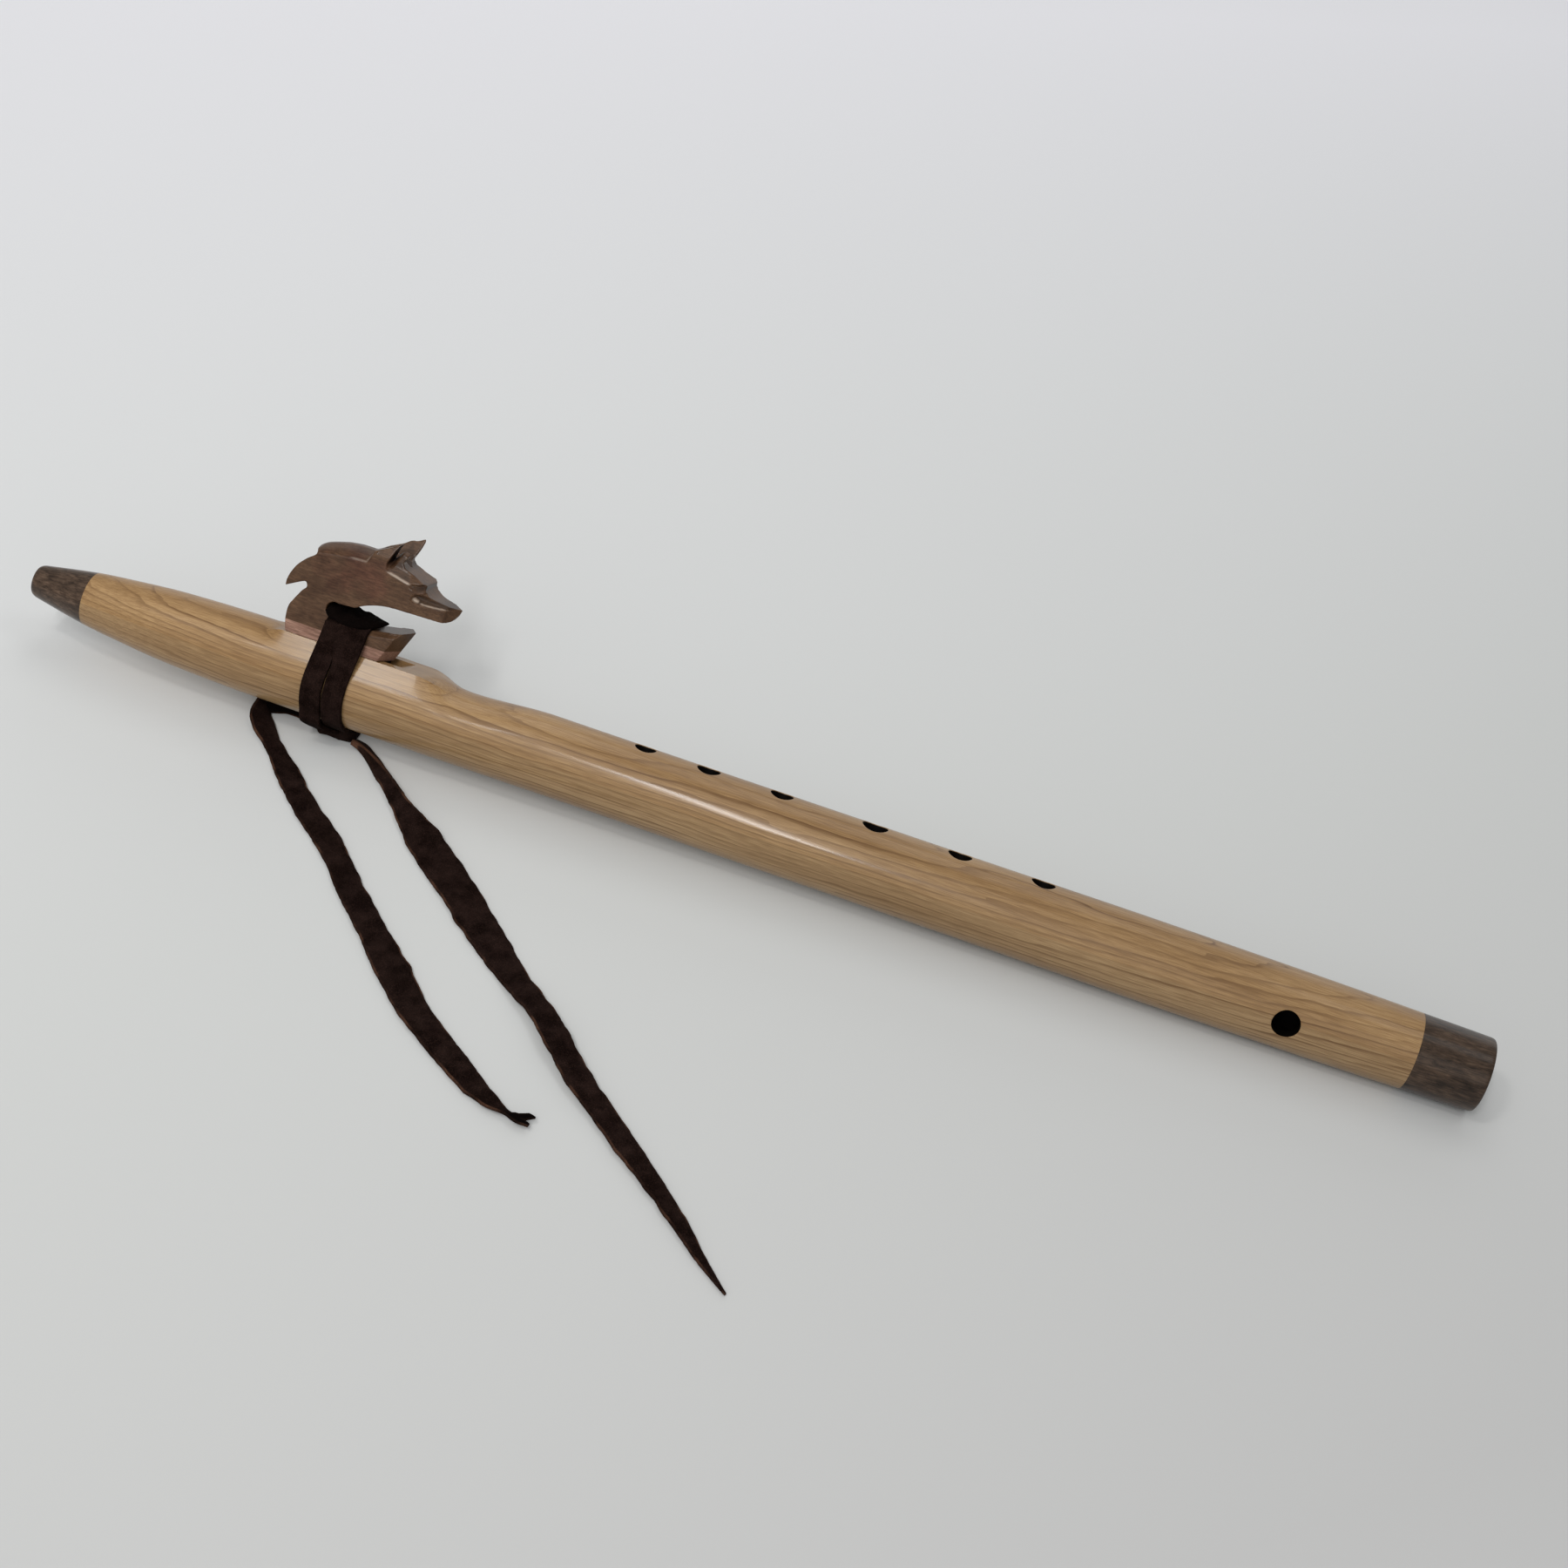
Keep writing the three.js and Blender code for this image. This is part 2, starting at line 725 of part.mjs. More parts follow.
function lacePlace(turn) {
  const passes = Math.floor(turn / fullTurn);
  const within = turn - passes * fullTurn;
  const leanBack = laceLean * (1 - ease(within, 0, Math.PI / 2));
  const across = (lacePitch + laceLean) * ease(within, Math.PI + laceDescent, fullTurn);
  const middle = laceFrom + laceWidth / 2 + leanBack + across + passes * lacePitch;
  const startShift = 1 - ease(turn, lacePathStart + laceEndRun, lacePathStart + laceEndTurn);
  const endShift = ease(turn, lacePathEnd - laceEndTurn, lacePathEnd - laceEndRun);
  return middle + laceEndShift * (startShift - endShift);
}

function laceRise(turn) {
  const startFrom = lacePathStart + laceEndTurn;
  const endFrom = lacePathEnd - laceEndTurn;
  const start = 1 - ease(turn, startFrom, startFrom + laceEndLift);
  const end = ease(turn, endFrom - laceEndLift, endFrom);
  return laceGap + laceThickness / 2 + (laceThickness + laceLayerGap) * (start + end);
}

function laceStation(turn, held) {
  const angle = Math.PI - turn;
  const { point, normal, which } = held || support(angle);
  const place = lacePlace(turn) + (which < 0 ? 0 : laceTopShift);
  const rise = laceRise(turn);
  return {
    turn,
    centre: [place, point[0] + normal[0] * rise, point[1] + normal[1] * rise],
    normal,
  };
}

// Where the path leaves one corner for the next, both ends of the straight run are stations
function laceStations(stepsPerTurn) {
  const count = Math.round(((lacePathEnd - lacePathStart) / fullTurn) * stepsPerTurn);
  const stations = [];
  let before = null;
  for (let k = 0; k <= count; k += 1) {
    const turn = lacePathStart + ((lacePathEnd - lacePathStart) * k) / count;
    const now = support(Math.PI - turn);
    if (before && now.which !== before.held.which) {
      let low = before.turn;
      let high = turn;
      while (high - low > fullTurn / 100000) {
        const half = (low + high) / 2;
        if (support(Math.PI - half).which === before.held.which) low = half;
        else high = half;
      }
      stations.push(laceStation(low, support(Math.PI - low)));
      stations.push(laceStation(high, support(Math.PI - high)));
    }
    stations.push(laceStation(turn, now));
    before = { turn, held: now };
  }
  return stations;
}

// Section of the lace, along X and along the path's normal
const laceCrownShare = 0.84;
const laceSection = [
  [-laceWidth / 2, 0],
  [(-laceWidth / 2) * laceCrownShare, -laceThickness / 2],
  [(laceWidth / 2) * laceCrownShare, -laceThickness / 2],
  [laceWidth / 2, 0],
  [(laceWidth / 2) * laceCrownShare, laceThickness / 2],
  [(-laceWidth / 2) * laceCrownShare, laceThickness / 2],
];

function sectionPoints({ centre, normal }) {
  return laceSection.map(([across, out]) => [
    centre[0] + across,
    centre[1] + normal[0] * out,
    centre[2] + normal[1] * out,
  ]);
}

function strip(rings) {
  const count = rings[0].length;
  const positions = rings.flat(2);
  const triangles = [];
  const lastRing = (rings.length - 1) * count;
  for (let i = 0; i < count; i += 1) {
    const next = (i + 1) % count;
    for (let ring = 0; ring < lastRing; ring += count) {
      triangles.push(ring + i, ring + count + i, ring + next);
      triangles.push(ring + next, ring + count + i, ring + count + next);
    }
  }
  for (let i = 1; i < count - 1; i += 1) {
    triangles.push(0, i, i + 1);
    triangles.push(lastRing, lastRing + i + 1, lastRing + i);
  }
  const geometry = new THREE.BufferGeometry();
  geometry.setAttribute("position", new THREE.Float32BufferAttribute(positions, 3));
  geometry.setIndex(triangles);
  return solid(geometry);
}

const winding = strip(laceStations(laceStepsPerTurn).map(sectionPoints));

// Least gap of the winding to itself, measured on points of neighbouring turns
const gapStepsPerTurn = 120;
const gapStations = laceStations(gapStepsPerTurn).map((station) => ({
  turn: station.turn,
  points: sectionPoints(station),
}));
let leastGap = fluteLength;
for (const a of gapStations) {
  for (const b of gapStations) {
    if (b.turn - a.turn < Math.PI) continue;
    for (const p of a.points) {
      for (const q of b.points) {
        leastGap = Math.min(leastGap, Math.hypot(p[0] - q[0], p[1] - q[1], p[2] - q[2]));
      }
    }
  }
}
console.log("thong winding: least gap to itself " + leastGap.toFixed(2) + " mm");

// Knot: a pad with a wrapped band between the lace's two ends, flat on the table
const knotX = (lacePlace(lacePathStart) + lacePlace(lacePathEnd)) / 2;
const knotInner = laceSeatRadius + laceGap + laceThickness + laceLayerGap;
const knotOuter = knotInner + knotThickness;
const knotNearAngle = Math.PI - lacePathStart;
const knotFarAngle = Math.PI + laceFinishAngle;
const knotNearReach = knotInner * Math.tan(knotNearAngle + rollBackAngle - Math.PI);
const knotFarReach = knotInner * Math.tan(knotFarAngle - Math.PI - rollBackAngle);

// Pose of the flute on the table
const footRadius = radiusAt(fluteLength * outlineShares.at(-3)[0]);
const pitchAngle = Math.asin((knotOuter - footRadius) / (fluteLength - knotX));

function padded(length, width, height, rounding) {
  const half = length / 2 - rounding;
  const wide = width / 2 - rounding;
  const shape = new THREE.Shape();
  shape.moveTo(-half, -wide + rounding);
  shape.lineTo(-half + rounding, -wide);
  shape.lineTo(half - rounding, -wide);
  shape.lineTo(half, -wide + rounding);
  shape.lineTo(half, wide - rounding);
  shape.lineTo(half - rounding, wide);
  shape.lineTo(-half + rounding, wide);
  shape.lineTo(-half, wide - rounding);
  const geometry = new THREE.ExtrudeGeometry(shape, {
    depth: height - rounding * 2,
    bevelThickness: rounding,
    bevelSize: rounding,
    bevelSegments: 2,
  });
  geometry.translate(0, 0, rounding - height / 2);
  return geometry;
}

const knotHeight = knotOuter - knotInner + laceLayerGap * 2 + bodyRadius / 4;
const knotBreadth = knotNearReach + knotFarReach;
const knotPad = solid(padded(knotLength, knotBreadth, knotHeight, knotRounding));
const knotBand = solid(
  padded(knotBandWidth, knotBreadth, knotHeight, knotRounding).rotateZ(knotBandAngle),
);
const knotShape = knotPad
  .add(knotBand.translate([0, 0, -knotBandRise]))
  .translate([knotX, (knotFarReach - knotNearReach) / 2, knotHeight / 2 - knotOuter]);

// Group of the turned flute, then table height and centre from its own box
const pose = new THREE.Matrix4()
  .makeRotationY(pitchAngle)
  .multiply(new THREE.Matrix4().makeRotationX(-rollBackAngle));
const posed = (made) => made.transform(pose.elements);

const tilted = new THREE.Group();
tilted.applyMatrix4(pose);
tilted.add(
  mesh("mouthpiece_cap", mouthCap, walnut),
  mesh("body_upper_half", upperHalf, cherry),
  mesh("body_lower_half", lowerHalf, cherryBelow),
  mesh("foot_cap", footCap, walnut),
  mesh("bird_base", birdBase, baseWood),
  mesh("bird_carving", birdHead, carvedWalnut),
  mesh("thong_winding", winding, leather),
);

const knotFrame = new THREE.Matrix4().makeRotationY(pitchAngle);
const footBox = posed(footCap).boundingBox();
const tableZ = footBox.min[2];
const knotSeat = laceSeatRadius + laceGap * 2 + laceThickness;
const tubeAtKnot = bore(knotX - knotLength, knotX + knotLength, knotSeat, boreSides);
const knotSpread = laceGap / knotInner;
const knotEdge = (angle) => [
  -Math.sin(angle) * (knotOuter + bodyRadius),
  Math.cos(angle) * (knotOuter + bodyRadius),
];
const knotWedge = endView(
  [[0, 0], knotEdge(knotNearAngle + knotSpread), knotEdge(knotFarAngle - knotSpread)],
  knotX - knotLength,
  knotX + knotLength,
);
const tableBox = sideView(
  [
    [0, tableZ - bodyRadius],
    [fluteLength, tableZ - bodyRadius],
    [fluteLength, tableZ],
    [0, tableZ],
  ],
  bodyRadius * 2,
);
const knotBody = knotShape
  .transform(knotFrame.elements)
  .intersect(posed(knotWedge.subtract(tubeAtKnot)))
  .subtract(tableBox);
const knotBox = knotBody.boundingBox();
const strandFrom = knotBox.min[0] - strandLength;
const strandNear = knotBox.min[1] + strandInset;
const strand = sideView(
  [
    [strandFrom, tableZ],
    [knotBox.min[0] + knotRounding * 3, tableZ],
    [knotBox.min[0] + knotRounding * 3, tableZ + laceThickness],
    [strandFrom, tableZ + laceThickness],
  ],
  strandWidth / 2,
).translate([0, strandNear + strandWidth / 2, 0]);
const knot = knotBody.add(strand);

const flute = new THREE.Group();
flute.name = "native_american_flute";
const knotMesh = mesh("thong_knot", knot, leather);
flute.add(tilted, knotMesh);
flute.updateMatrixWorld(true);
const box = new THREE.Box3().setFromObject(flute, true);
const centre = box.getCenter(new THREE.Vector3());
for (const child of flute.children) {
  child.position.sub(new THREE.Vector3(centre.x, centre.y, tableZ));
}

// Tails, in the frame of the finished part
flute.updateMatrixWorld(true);
const knotCorner = new THREE.Box3().setFromObject(knotMesh, true);
const tailCrownShare = 0.84;
const tailSection = [
  [0, -tailWidth / 2],
  [tailThickness / 2, (-tailWidth / 2) * tailCrownShare],
  [tailThickness / 2, 0],
  [tailThickness / 2, (tailWidth / 2) * tailCrownShare],
  [0, tailWidth / 2],
  [-tailThickness / 2, (tailWidth / 2) * tailCrownShare],
  [-tailThickness / 2, 0],
  [-tailThickness / 2, (-tailWidth / 2) * tailCrownShare],
];

function tail(route) {
  const height = tailThickness / 2 + glueGap / 2;
  const path = new THREE.CatmullRomCurve3(
    route.map(
      ([x, y]) => new THREE.Vector3(knotCorner.max.x + x, knotCorner.min.y + y, height),
    ),
    false,
    "centripetal",
  );
  const shape = new THREE.Shape(tailSection.map(([a, b]) => new THREE.Vector2(a, b)));
  const steps = Math.round(path.getLength() / tailStep);
  return solid(new THREE.ExtrudeGeometry(shape, { steps, extrudePath: path }));
}

flute.add(
  mesh("thong_tail_left", tail(leftTailRoute), leather),
  mesh("thong_tail_right", tail(rightTailRoute), leather),
);
flute.updateMatrixWorld(true);

export default flute;
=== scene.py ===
# %% [markdown]
# # A two-chamber wooden flute with a carved bird and a leather lace
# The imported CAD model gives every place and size. This lesson dresses it: it builds finer
# shapes over the CAD solids and gives each one the finish of the real wood or leather.

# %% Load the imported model
import json
import math
import bpy
import bmesh
import numpy as np
from mathutils import Matrix, Vector, noise


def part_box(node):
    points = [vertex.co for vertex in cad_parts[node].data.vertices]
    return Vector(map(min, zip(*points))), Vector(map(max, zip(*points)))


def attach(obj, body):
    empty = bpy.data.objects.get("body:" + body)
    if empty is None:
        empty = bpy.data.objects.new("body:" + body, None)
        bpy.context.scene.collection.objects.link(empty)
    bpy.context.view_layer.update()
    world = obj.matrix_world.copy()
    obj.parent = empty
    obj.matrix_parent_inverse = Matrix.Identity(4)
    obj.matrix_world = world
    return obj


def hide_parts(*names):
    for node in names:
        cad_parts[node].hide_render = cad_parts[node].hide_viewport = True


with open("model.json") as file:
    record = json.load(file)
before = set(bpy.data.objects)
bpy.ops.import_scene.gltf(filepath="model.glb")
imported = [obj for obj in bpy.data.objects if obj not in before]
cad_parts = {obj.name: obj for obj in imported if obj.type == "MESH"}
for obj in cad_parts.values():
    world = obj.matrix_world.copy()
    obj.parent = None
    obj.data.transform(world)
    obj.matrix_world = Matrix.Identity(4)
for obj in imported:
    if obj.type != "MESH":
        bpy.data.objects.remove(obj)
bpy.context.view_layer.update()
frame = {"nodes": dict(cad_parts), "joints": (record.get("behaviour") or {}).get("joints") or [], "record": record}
print("CAD nodes:", sorted(frame["nodes"]))

# %% [markdown]
# ## The flute's own directions
# The flute lies rolled back on the table and a little nose-up, because it rests on its foot
# and on the lace's knot. Everything on it is easier to draw in the flute's own millimetres:
# x runs from the mouth end to the foot, z points out of the finger holes and y crosses the
# flute. The sliding bird's joint gives the long direction, and the mount at the foot the place.

# %% Directions and places
mm = 0.001
flute_length = 584
body_radius = 15.5
roll_back = math.radians(24)
record = frame["record"]
along = Vector(frame["joints"][0]["axis"]).normalized()
pitch = math.asin(-along.z)
turn = Matrix.Rotation(pitch, 3, "Y") @ Matrix.Rotation(-roll_back, 3, "X")
upward = turn @ Vector((0, 0, 1))
foot_mount = next(m for m in record["mounts"] if m["name"] == "foot_end")
mount_ring = 12.5
foot_centre = Vector(foot_mount["pos_m"]) - upward * (mount_ring * mm)
mouth_centre = foot_centre - along * (flute_length * mm)


def on_flute(points):
    """Points in the flute's millimetres become points in the scene's metres."""
    turned = np.asarray(points, float) @ np.array(turn).T
    return turned * mm + np.array(mouth_centre)


print("mouth end at", [round(v, 4) for v in mouth_centre], "pitch", round(math.degrees(pitch), 2))

# %% [markdown]
# ## Camera
# The photograph looks down at about 40 degrees, and the flute crosses it on a slope. A
# camera is easiest to aim by its own three directions: the way it looks, its right and its up.

# %% Camera
camera_data = bpy.data.cameras.new("camera")
camera_data.lens = 52
camera_data.shift_x = -0.1052
camera_data.shift_y = 0.0691
camera_data.clip_end = 20
camera = bpy.data.objects.new("camera", camera_data)
bpy.context.scene.collection.objects.link(camera)
bpy.context.scene.camera = camera
look_down = math.radians(40)
slope = math.radians(18.916)
level_up = Vector((math.sin(pitch), 0, math.cos(pitch)))
back = Vector((0, 1, 0))
looks_along = back * math.cos(look_down) - level_up * math.sin(look_down)
rises = back * math.sin(look_down) + level_up * math.cos(look_down)
camera_right = along * math.cos(slope) + rises * math.sin(slope)
camera_up = rises * math.cos(slope) - along * math.sin(slope)
aim = mouth_centre + along * (368.3 * mm)
stand = aim - looks_along * (866.7 * mm)
camera.matrix_world = Matrix.Translation(stand) @ Matrix(
    (camera_right, camera_up, -looks_along)
).transposed().to_4x4()
print("camera at", [round(v, 3) for v in stand])

# %% [markdown]
# ## Building blocks
# Every piece below is a list of points and faces. One helper makes a mesh object of them, and
# one joins rings of points into a skin, which is how ropes, straps, turned wood and lofted
# bodies are all made. The third is a soft step from 0 to 1, used wherever one form runs
# into the next.

# %% Mesh helpers
def new_piece(name, points, faces, finish=None):
    data = bpy.data.meshes.new(name)
    data.from_pydata([tuple(p) for p in points], [], faces)
    data.update()
    data.shade_smooth()
    piece = bpy.data.objects.new(name, data)
    bpy.context.scene.collection.objects.link(piece)
    if finish is not None:
        data.materials.append(finish)
    return piece


def skin(ring_count, ring_size, closed_ends=True):
    """Faces that join rings of equal size, one after the other."""
    faces = []
    for ring in range(ring_count - 1):
        for k in range(ring_size):
            near, far = ring * ring_size, (ring + 1) * ring_size
            step = (k + 1) % ring_size
            faces.append((near + k, near + step, far + step, far + k))
    if closed_ends:
        faces.append(tuple(range(ring_size - 1, -1, -1)))
        last = (ring_count - 1) * ring_size
        faces.append(tuple(range(last, last + ring_size)))
    return faces


def smooth_step(value, start, end):
    t = np.clip((np.asarray(value, float) - start) / (end - start), 0, 1)
    return t * t * (3 - 2 * t)


print("a skin over 3 rings of 8 points has", len(skin(3, 8)), "faces")

# %% [markdown]
# ## Finishes are node trees
# A finish is built from Blender's nodes in code, as a picture would show its joints and repeat.
# The first helper adds one node and wires it, the second does sums, and the next ones pick
# colours from a ramp and blend them.

# %% Node helpers
def wire(tree, kind, inputs=None, **settings):
    made = tree.nodes.new("ShaderNode" + kind)
    for key, value in settings.items():
        setattr(made, key, value)
    for key, value in (inputs or {}).items():
        if isinstance(value, bpy.types.NodeSocket):
            tree.links.new(value, made.inputs[key])
        else:
            made.inputs[key].default_value = value
    return made


def work_out(tree, operation, *values):
    return wire(tree, "Math", dict(enumerate(values)), operation=operation).outputs[0]


def ramp(tree, factor, stops):
    """Colour ramp from (place, colour) pairs; a number stands for a grey."""
    made = wire(tree, "ValToRGB", {"Fac": factor})
    marks = made.color_ramp.elements
    while len(marks) < len(stops):
        marks.new(0.5)
    for mark, (place, colour) in zip(marks, stops):
        mark.position = place
        mark.color = (*colour, 1) if isinstance(colour, tuple) else (colour,) * 3 + (1,)
    return made.outputs["Color"]


def blend_colours(tree, factor, below, above, way="MIX"):
    made = wire(tree, "Mix", data_type="RGBA", blend_type=way)
    for key, value in (("Factor", factor), (6, below), (7, above)):
        socket = made.inputs[key]
        if isinstance(value, bpy.types.NodeSocket):
            tree.links.new(value, socket)
        else:
            socket.default_value = (*value, 1) if isinstance(value, tuple) else value
    return made.outputs[2]


def new_finish(name, roughness):
    finish = bpy.data.materials.new(name)
    finish.use_nodes = True
    shader = finish.node_tree.nodes["Principled BSDF"]
    shader.inputs["Roughness"].default_value = roughness
    return finish, finish.node_tree, shader


# %% [markdown]
# Wood needs to know where it is inside the flute, so its coordinates are turned back into the
# flute's own millimetres: grain then runs along the flute and through the piece, as in a real
# board. Stretching those coordinates before they reach a noise draws it out along the grain.

# %% Places and patterns for finishes
def flute_millimetres(tree):
    """Object coordinates turned back into the flute's own millimetres."""
    place = wire(tree, "TexCoord").outputs["Object"]
    mapped = wire(
        tree,
        "Mapping",
        {
            "Vector": place,
            "Location": mouth_centre,
            "Rotation": turn.to_euler(),
            "Scale": (mm, mm, mm),
        },
        vector_type="TEXTURE",
    )
    return mapped.outputs[0]


def stretched(tree, vector, scale):
    return wire(tree, "VectorMath", {0: vector, 1: scale}, operation="MULTIPLY").outputs[0]


def speckle(tree, vector, scale, detail=2.0, roughness=0.5, distortion=0.0):
    made = wire(
        tree,
        "TexNoise",
        {
            "Vector": vector,
            "Scale": scale,
            "Detail": detail,
            "Roughness": roughness,
            "Distortion": distortion,
        },
    )
    return made.outputs["Fac"]


print("the grain's coordinates turn by", [round(math.degrees(a), 1) for a in turn.to_euler()])

# %% [markdown]
# ## Suede lace
# The lace is dark brown deerskin, a suede: it has a short nap that takes the light unevenly and no gloss, and its
# cut edges are raw and lighter. An image of suede would be quick, but it repeats and stretches, so the nap is
# noise worked out in place. The meshes carry two numbers on their points, raw for bared edges and one for painted
# shade, a near-black blend in folds that no light reaches, so one finish serves every stretch of the lace.

# %% Suede finish
def suede_finish():
    finish, tree, shader = new_finish("dark_suede", 0.93)
    per_metre = 1 / mm
    place = stretched(tree, wire(tree, "TexCoord").outputs["Object"], (per_metre,) * 3)
    nap = speckle(tree, place, 2.8, 4, 0.75)
    patches = speckle(tree, place, 0.16, 3, 0.6)
    dark = ramp(tree, nap, [(0.38, (0.0022, 0.0009, 0.0006)), (0.52, (0.007, 0.0031, 0.0023)),
                            (0.68, (0.055, 0.029, 0.022))])
    worn = ramp(tree, patches, [(0.38, (0.0035, 0.0016, 0.0013)), (0.68, (0.026, 0.0145, 0.012))])
    face = blend_colours(tree, 0.5, dark, worn)
    # Painted shade: this number blends the nap to near black where no light reaches.
    painted_shade = wire(tree, "Attribute", attribute_name="painted_shade").outputs["Fac"]
    face = blend_colours(tree, painted_shade, face, (0.0016, 0.001, 0.0009))
    raw = wire(tree, "Attribute", attribute_name="raw").outputs["Fac"]
    bared = ramp(tree, speckle(tree, place, 0.11, 2), [(0.48, 0.1), (0.66, 0.9)])
    beyond = work_out(tree, "MAXIMUM", work_out(tree, "SUBTRACT", raw, 1.0), 0.0)
    raw = work_out(tree, "ADD", work_out(tree, "MULTIPLY", raw, bared), beyond)
    fibres = ramp(tree, nap, [(0.3, (0.06, 0.027, 0.017)), (0.7, (0.17, 0.085, 0.052))])
    tree.links.new(blend_colours(tree, raw, face, fibres), shader.inputs["Base Color"])
    bump = wire(tree, "Bump", {"Height": nap, "Strength": 0.35, "Distance": 0.0004})
    tree.links.new(bump.outputs[0], shader.inputs["Normal"])
    shader.inputs["Specular IOR Level"].default_value = 0.03
    shader.inputs["Sheen Weight"].default_value = 0.008
    shader.inputs["Sheen Roughness"].default_value = 0.5
    shader.inputs["Sheen Tint"].default_value = (0.6, 0.42, 0.36, 1)
    return finish


suede = suede_finish()
print(suede.name, "has", len(suede.node_tree.nodes), "nodes")

# %% [markdown]
# ## The lace's two free ends
# They lie limp on the table, so they come first: they follow the routes of the CAD's solids,
# whose points are measured from the knot's near corner. A flat strip could be a curve with a
# flat bevel, but hand-cut lace is never even. So each strip is a skin over rings whose
# width, tilt and thickness follow small tables.

# %% Routes of the free ends
left_route = [
    (-40.8, 18.0), (-40.7, 13.0), (-40.4, 8.0), (-39.4, 3.0), (-37.0, -4.2), (-29.6, -12.8),
    (-24.6, -17.8), (-17.1, -26.6), (-8.3, -36.0), (1.0, -45.3), (10.6, -54.4), (19.6, -63.8),
    (28.2, -73.6), (37.0, -83.4), (45.9, -93.1), (54.6, -102.7), (63.4, -112.2),
    (72.6, -121.3), (82.5, -129.8), (92.8, -138.0), (103.6, -145.6), (112.2, -150.7),
    (119.4, -154.4), (127.6, -156.7),
]
right_route = [
    (-1.2, 0.3), (3.0, -1.4), (8.4, -5.4), (18.4, -15.7), (30.6, -28.3), (42.9, -39.8),
    (55.2, -50.8), (67.1, -62.1), (78.8, -73.5), (90.5, -84.8), (102.2, -95.9),
    (113.7, -107.2), (124.9, -118.6), (136.4, -129.9), (148.4, -140.8), (160.6, -151.7),
    (172.9, -162.7), (185.0, -174.0), (196.9, -185.6), (208.6, -196.4),
]
knot_low, knot_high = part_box("thong_knot")
knot_corner = np.array((knot_high.x, knot_low.y)) / mm
print("knot's near corner at", knot_corner.round(1), "mm")


def smooth_line(points, spacing):
    """A smooth line through given points, then even steps along it."""
    points = np.asarray(points, float)
    ends = np.vstack([2 * points[0] - points[1], points, 2 * points[-1] - points[-2]])
    fine = []
    for k in range(1, len(ends) - 2):
        p0, p1, p2, p3 = ends[k - 1 : k + 3]
        for t in np.linspace(0, 1, 12, endpoint=False):
            fine.append(
                0.5 * (2 * p1 + (p2 - p0) * t + (2 * p0 - 5 * p1 + 4 * p2 - p3) * t**2
                       + (3 * p1 - p0 - 3 * p2 + p3) * t**3)
            )
    fine.append(points[-1])
    fine = np.array(fine)
    reach = np.concatenate([[0], np.cumsum(np.linalg.norm(np.diff(fine, axis=0), axis=1))])
    marks = np.linspace(0, reach[-1], max(2, round(reach[-1] / spacing) + 1))
    return np.stack([np.interp(marks, reach, fine[:, k]) for k in range(fine.shape[1])], 1)


def table_at(table, share):
    """Reads a table of (share of the length, value, value...) rows by straight steps."""
    rows = np.asarray(table, float)
    return [np.interp(share, rows[:, 0], rows[:, k]) for k in range(1, rows.shape[1])]


# %% [markdown]
# A strip's ring has a flat top, rounded raw edges and a flat underside. The tilt turns the ring
# about the strip's middle line, and then the ring is set down so that its lowest point
# touches the table, or floats a little where the lace arches off it.

# %% One ring of the strip
edge_shape = [(0.0, 1.0), (0.45, 0.99), (0.8, 0.9), (1.0, 0.45), (1.0, -0.45), (0.8, -0.9),
              (0.45, -0.99), (0.0, -1.0)]


def lace_ring(half_left, half_right, thickness):
    """Points of one section as (across, up, raw); raw is 1 on the cut edges."""
    rim = min(thickness * 0.55, 0.8 * half_left, 0.8 * half_right)
    ring = []
    inner = np.linspace(-1, 1, 9)
    for share in inner:
        half = half_right if share > 0 else half_left
        ring.append((share * (half - rim), thickness / 2, 0.0))
    for out, up in edge_shape[1:-1]:
        ring.append((half_right - rim + rim * out, thickness / 2 * up, 1.0))
    for share in inner[::-1]:
        half = half_right if share > 0 else half_left
        ring.append((share * (half - rim), -thickness / 2, 0.0))
    for out, up in edge_shape[1:-1][::-1]:
        ring.append((-half_left + rim - rim * out, thickness / 2 * up, 1.0))
    return np.array(ring)


ring_points = len(lace_ring(4.0, 4.0, 1.4))
print("each ring has", ring_points, "points")

# %% [markdown]
# The strip itself sets such rings along the smooth line. Noise makes its width wander and
# nicks its edges, as shears do, and lets it float by fractions of a millimetre. The numbers
# for bared and dark places are stored on the mesh's points.

# %% Strip of lace on the table
tip_rings, ring_step = 5, 1.1
flat_on_table = ((0.0, 0.05), (1.0, 0.05))
no_bared_edge = ((0.0, 0.0, 0.0, 0.0), (1.0, 0.0, 0.0, 0.0))


def mark(piece, values, name="raw"):
    """Stores a number on each point of the mesh for the finish to read."""
    layer = piece.data.attributes.new(name, "FLOAT", "POINT")
    layer.data.foreach_set("value", np.asarray(values, np.float32))


def ragged_halves(reach, seed, taper, left, right):
    """Half widths that wander slowly and have nicks from the shears."""
    wander = [noise.noise(Vector((reach * 0.16, seed + 7 * n, 0))) for n in range(2)]
    nicks = [noise.noise(Vector((reach * 0.55, seed + 31 + 9 * n, 0))) for n in range(2)]
    return [
        max(0.25, half * (1 + 0.07 * slow) + (0.25 * slow + 0.3 * min(nick, 0)) * taper)
        for half, slow, nick in zip((left, right), wander, nicks)
    ]


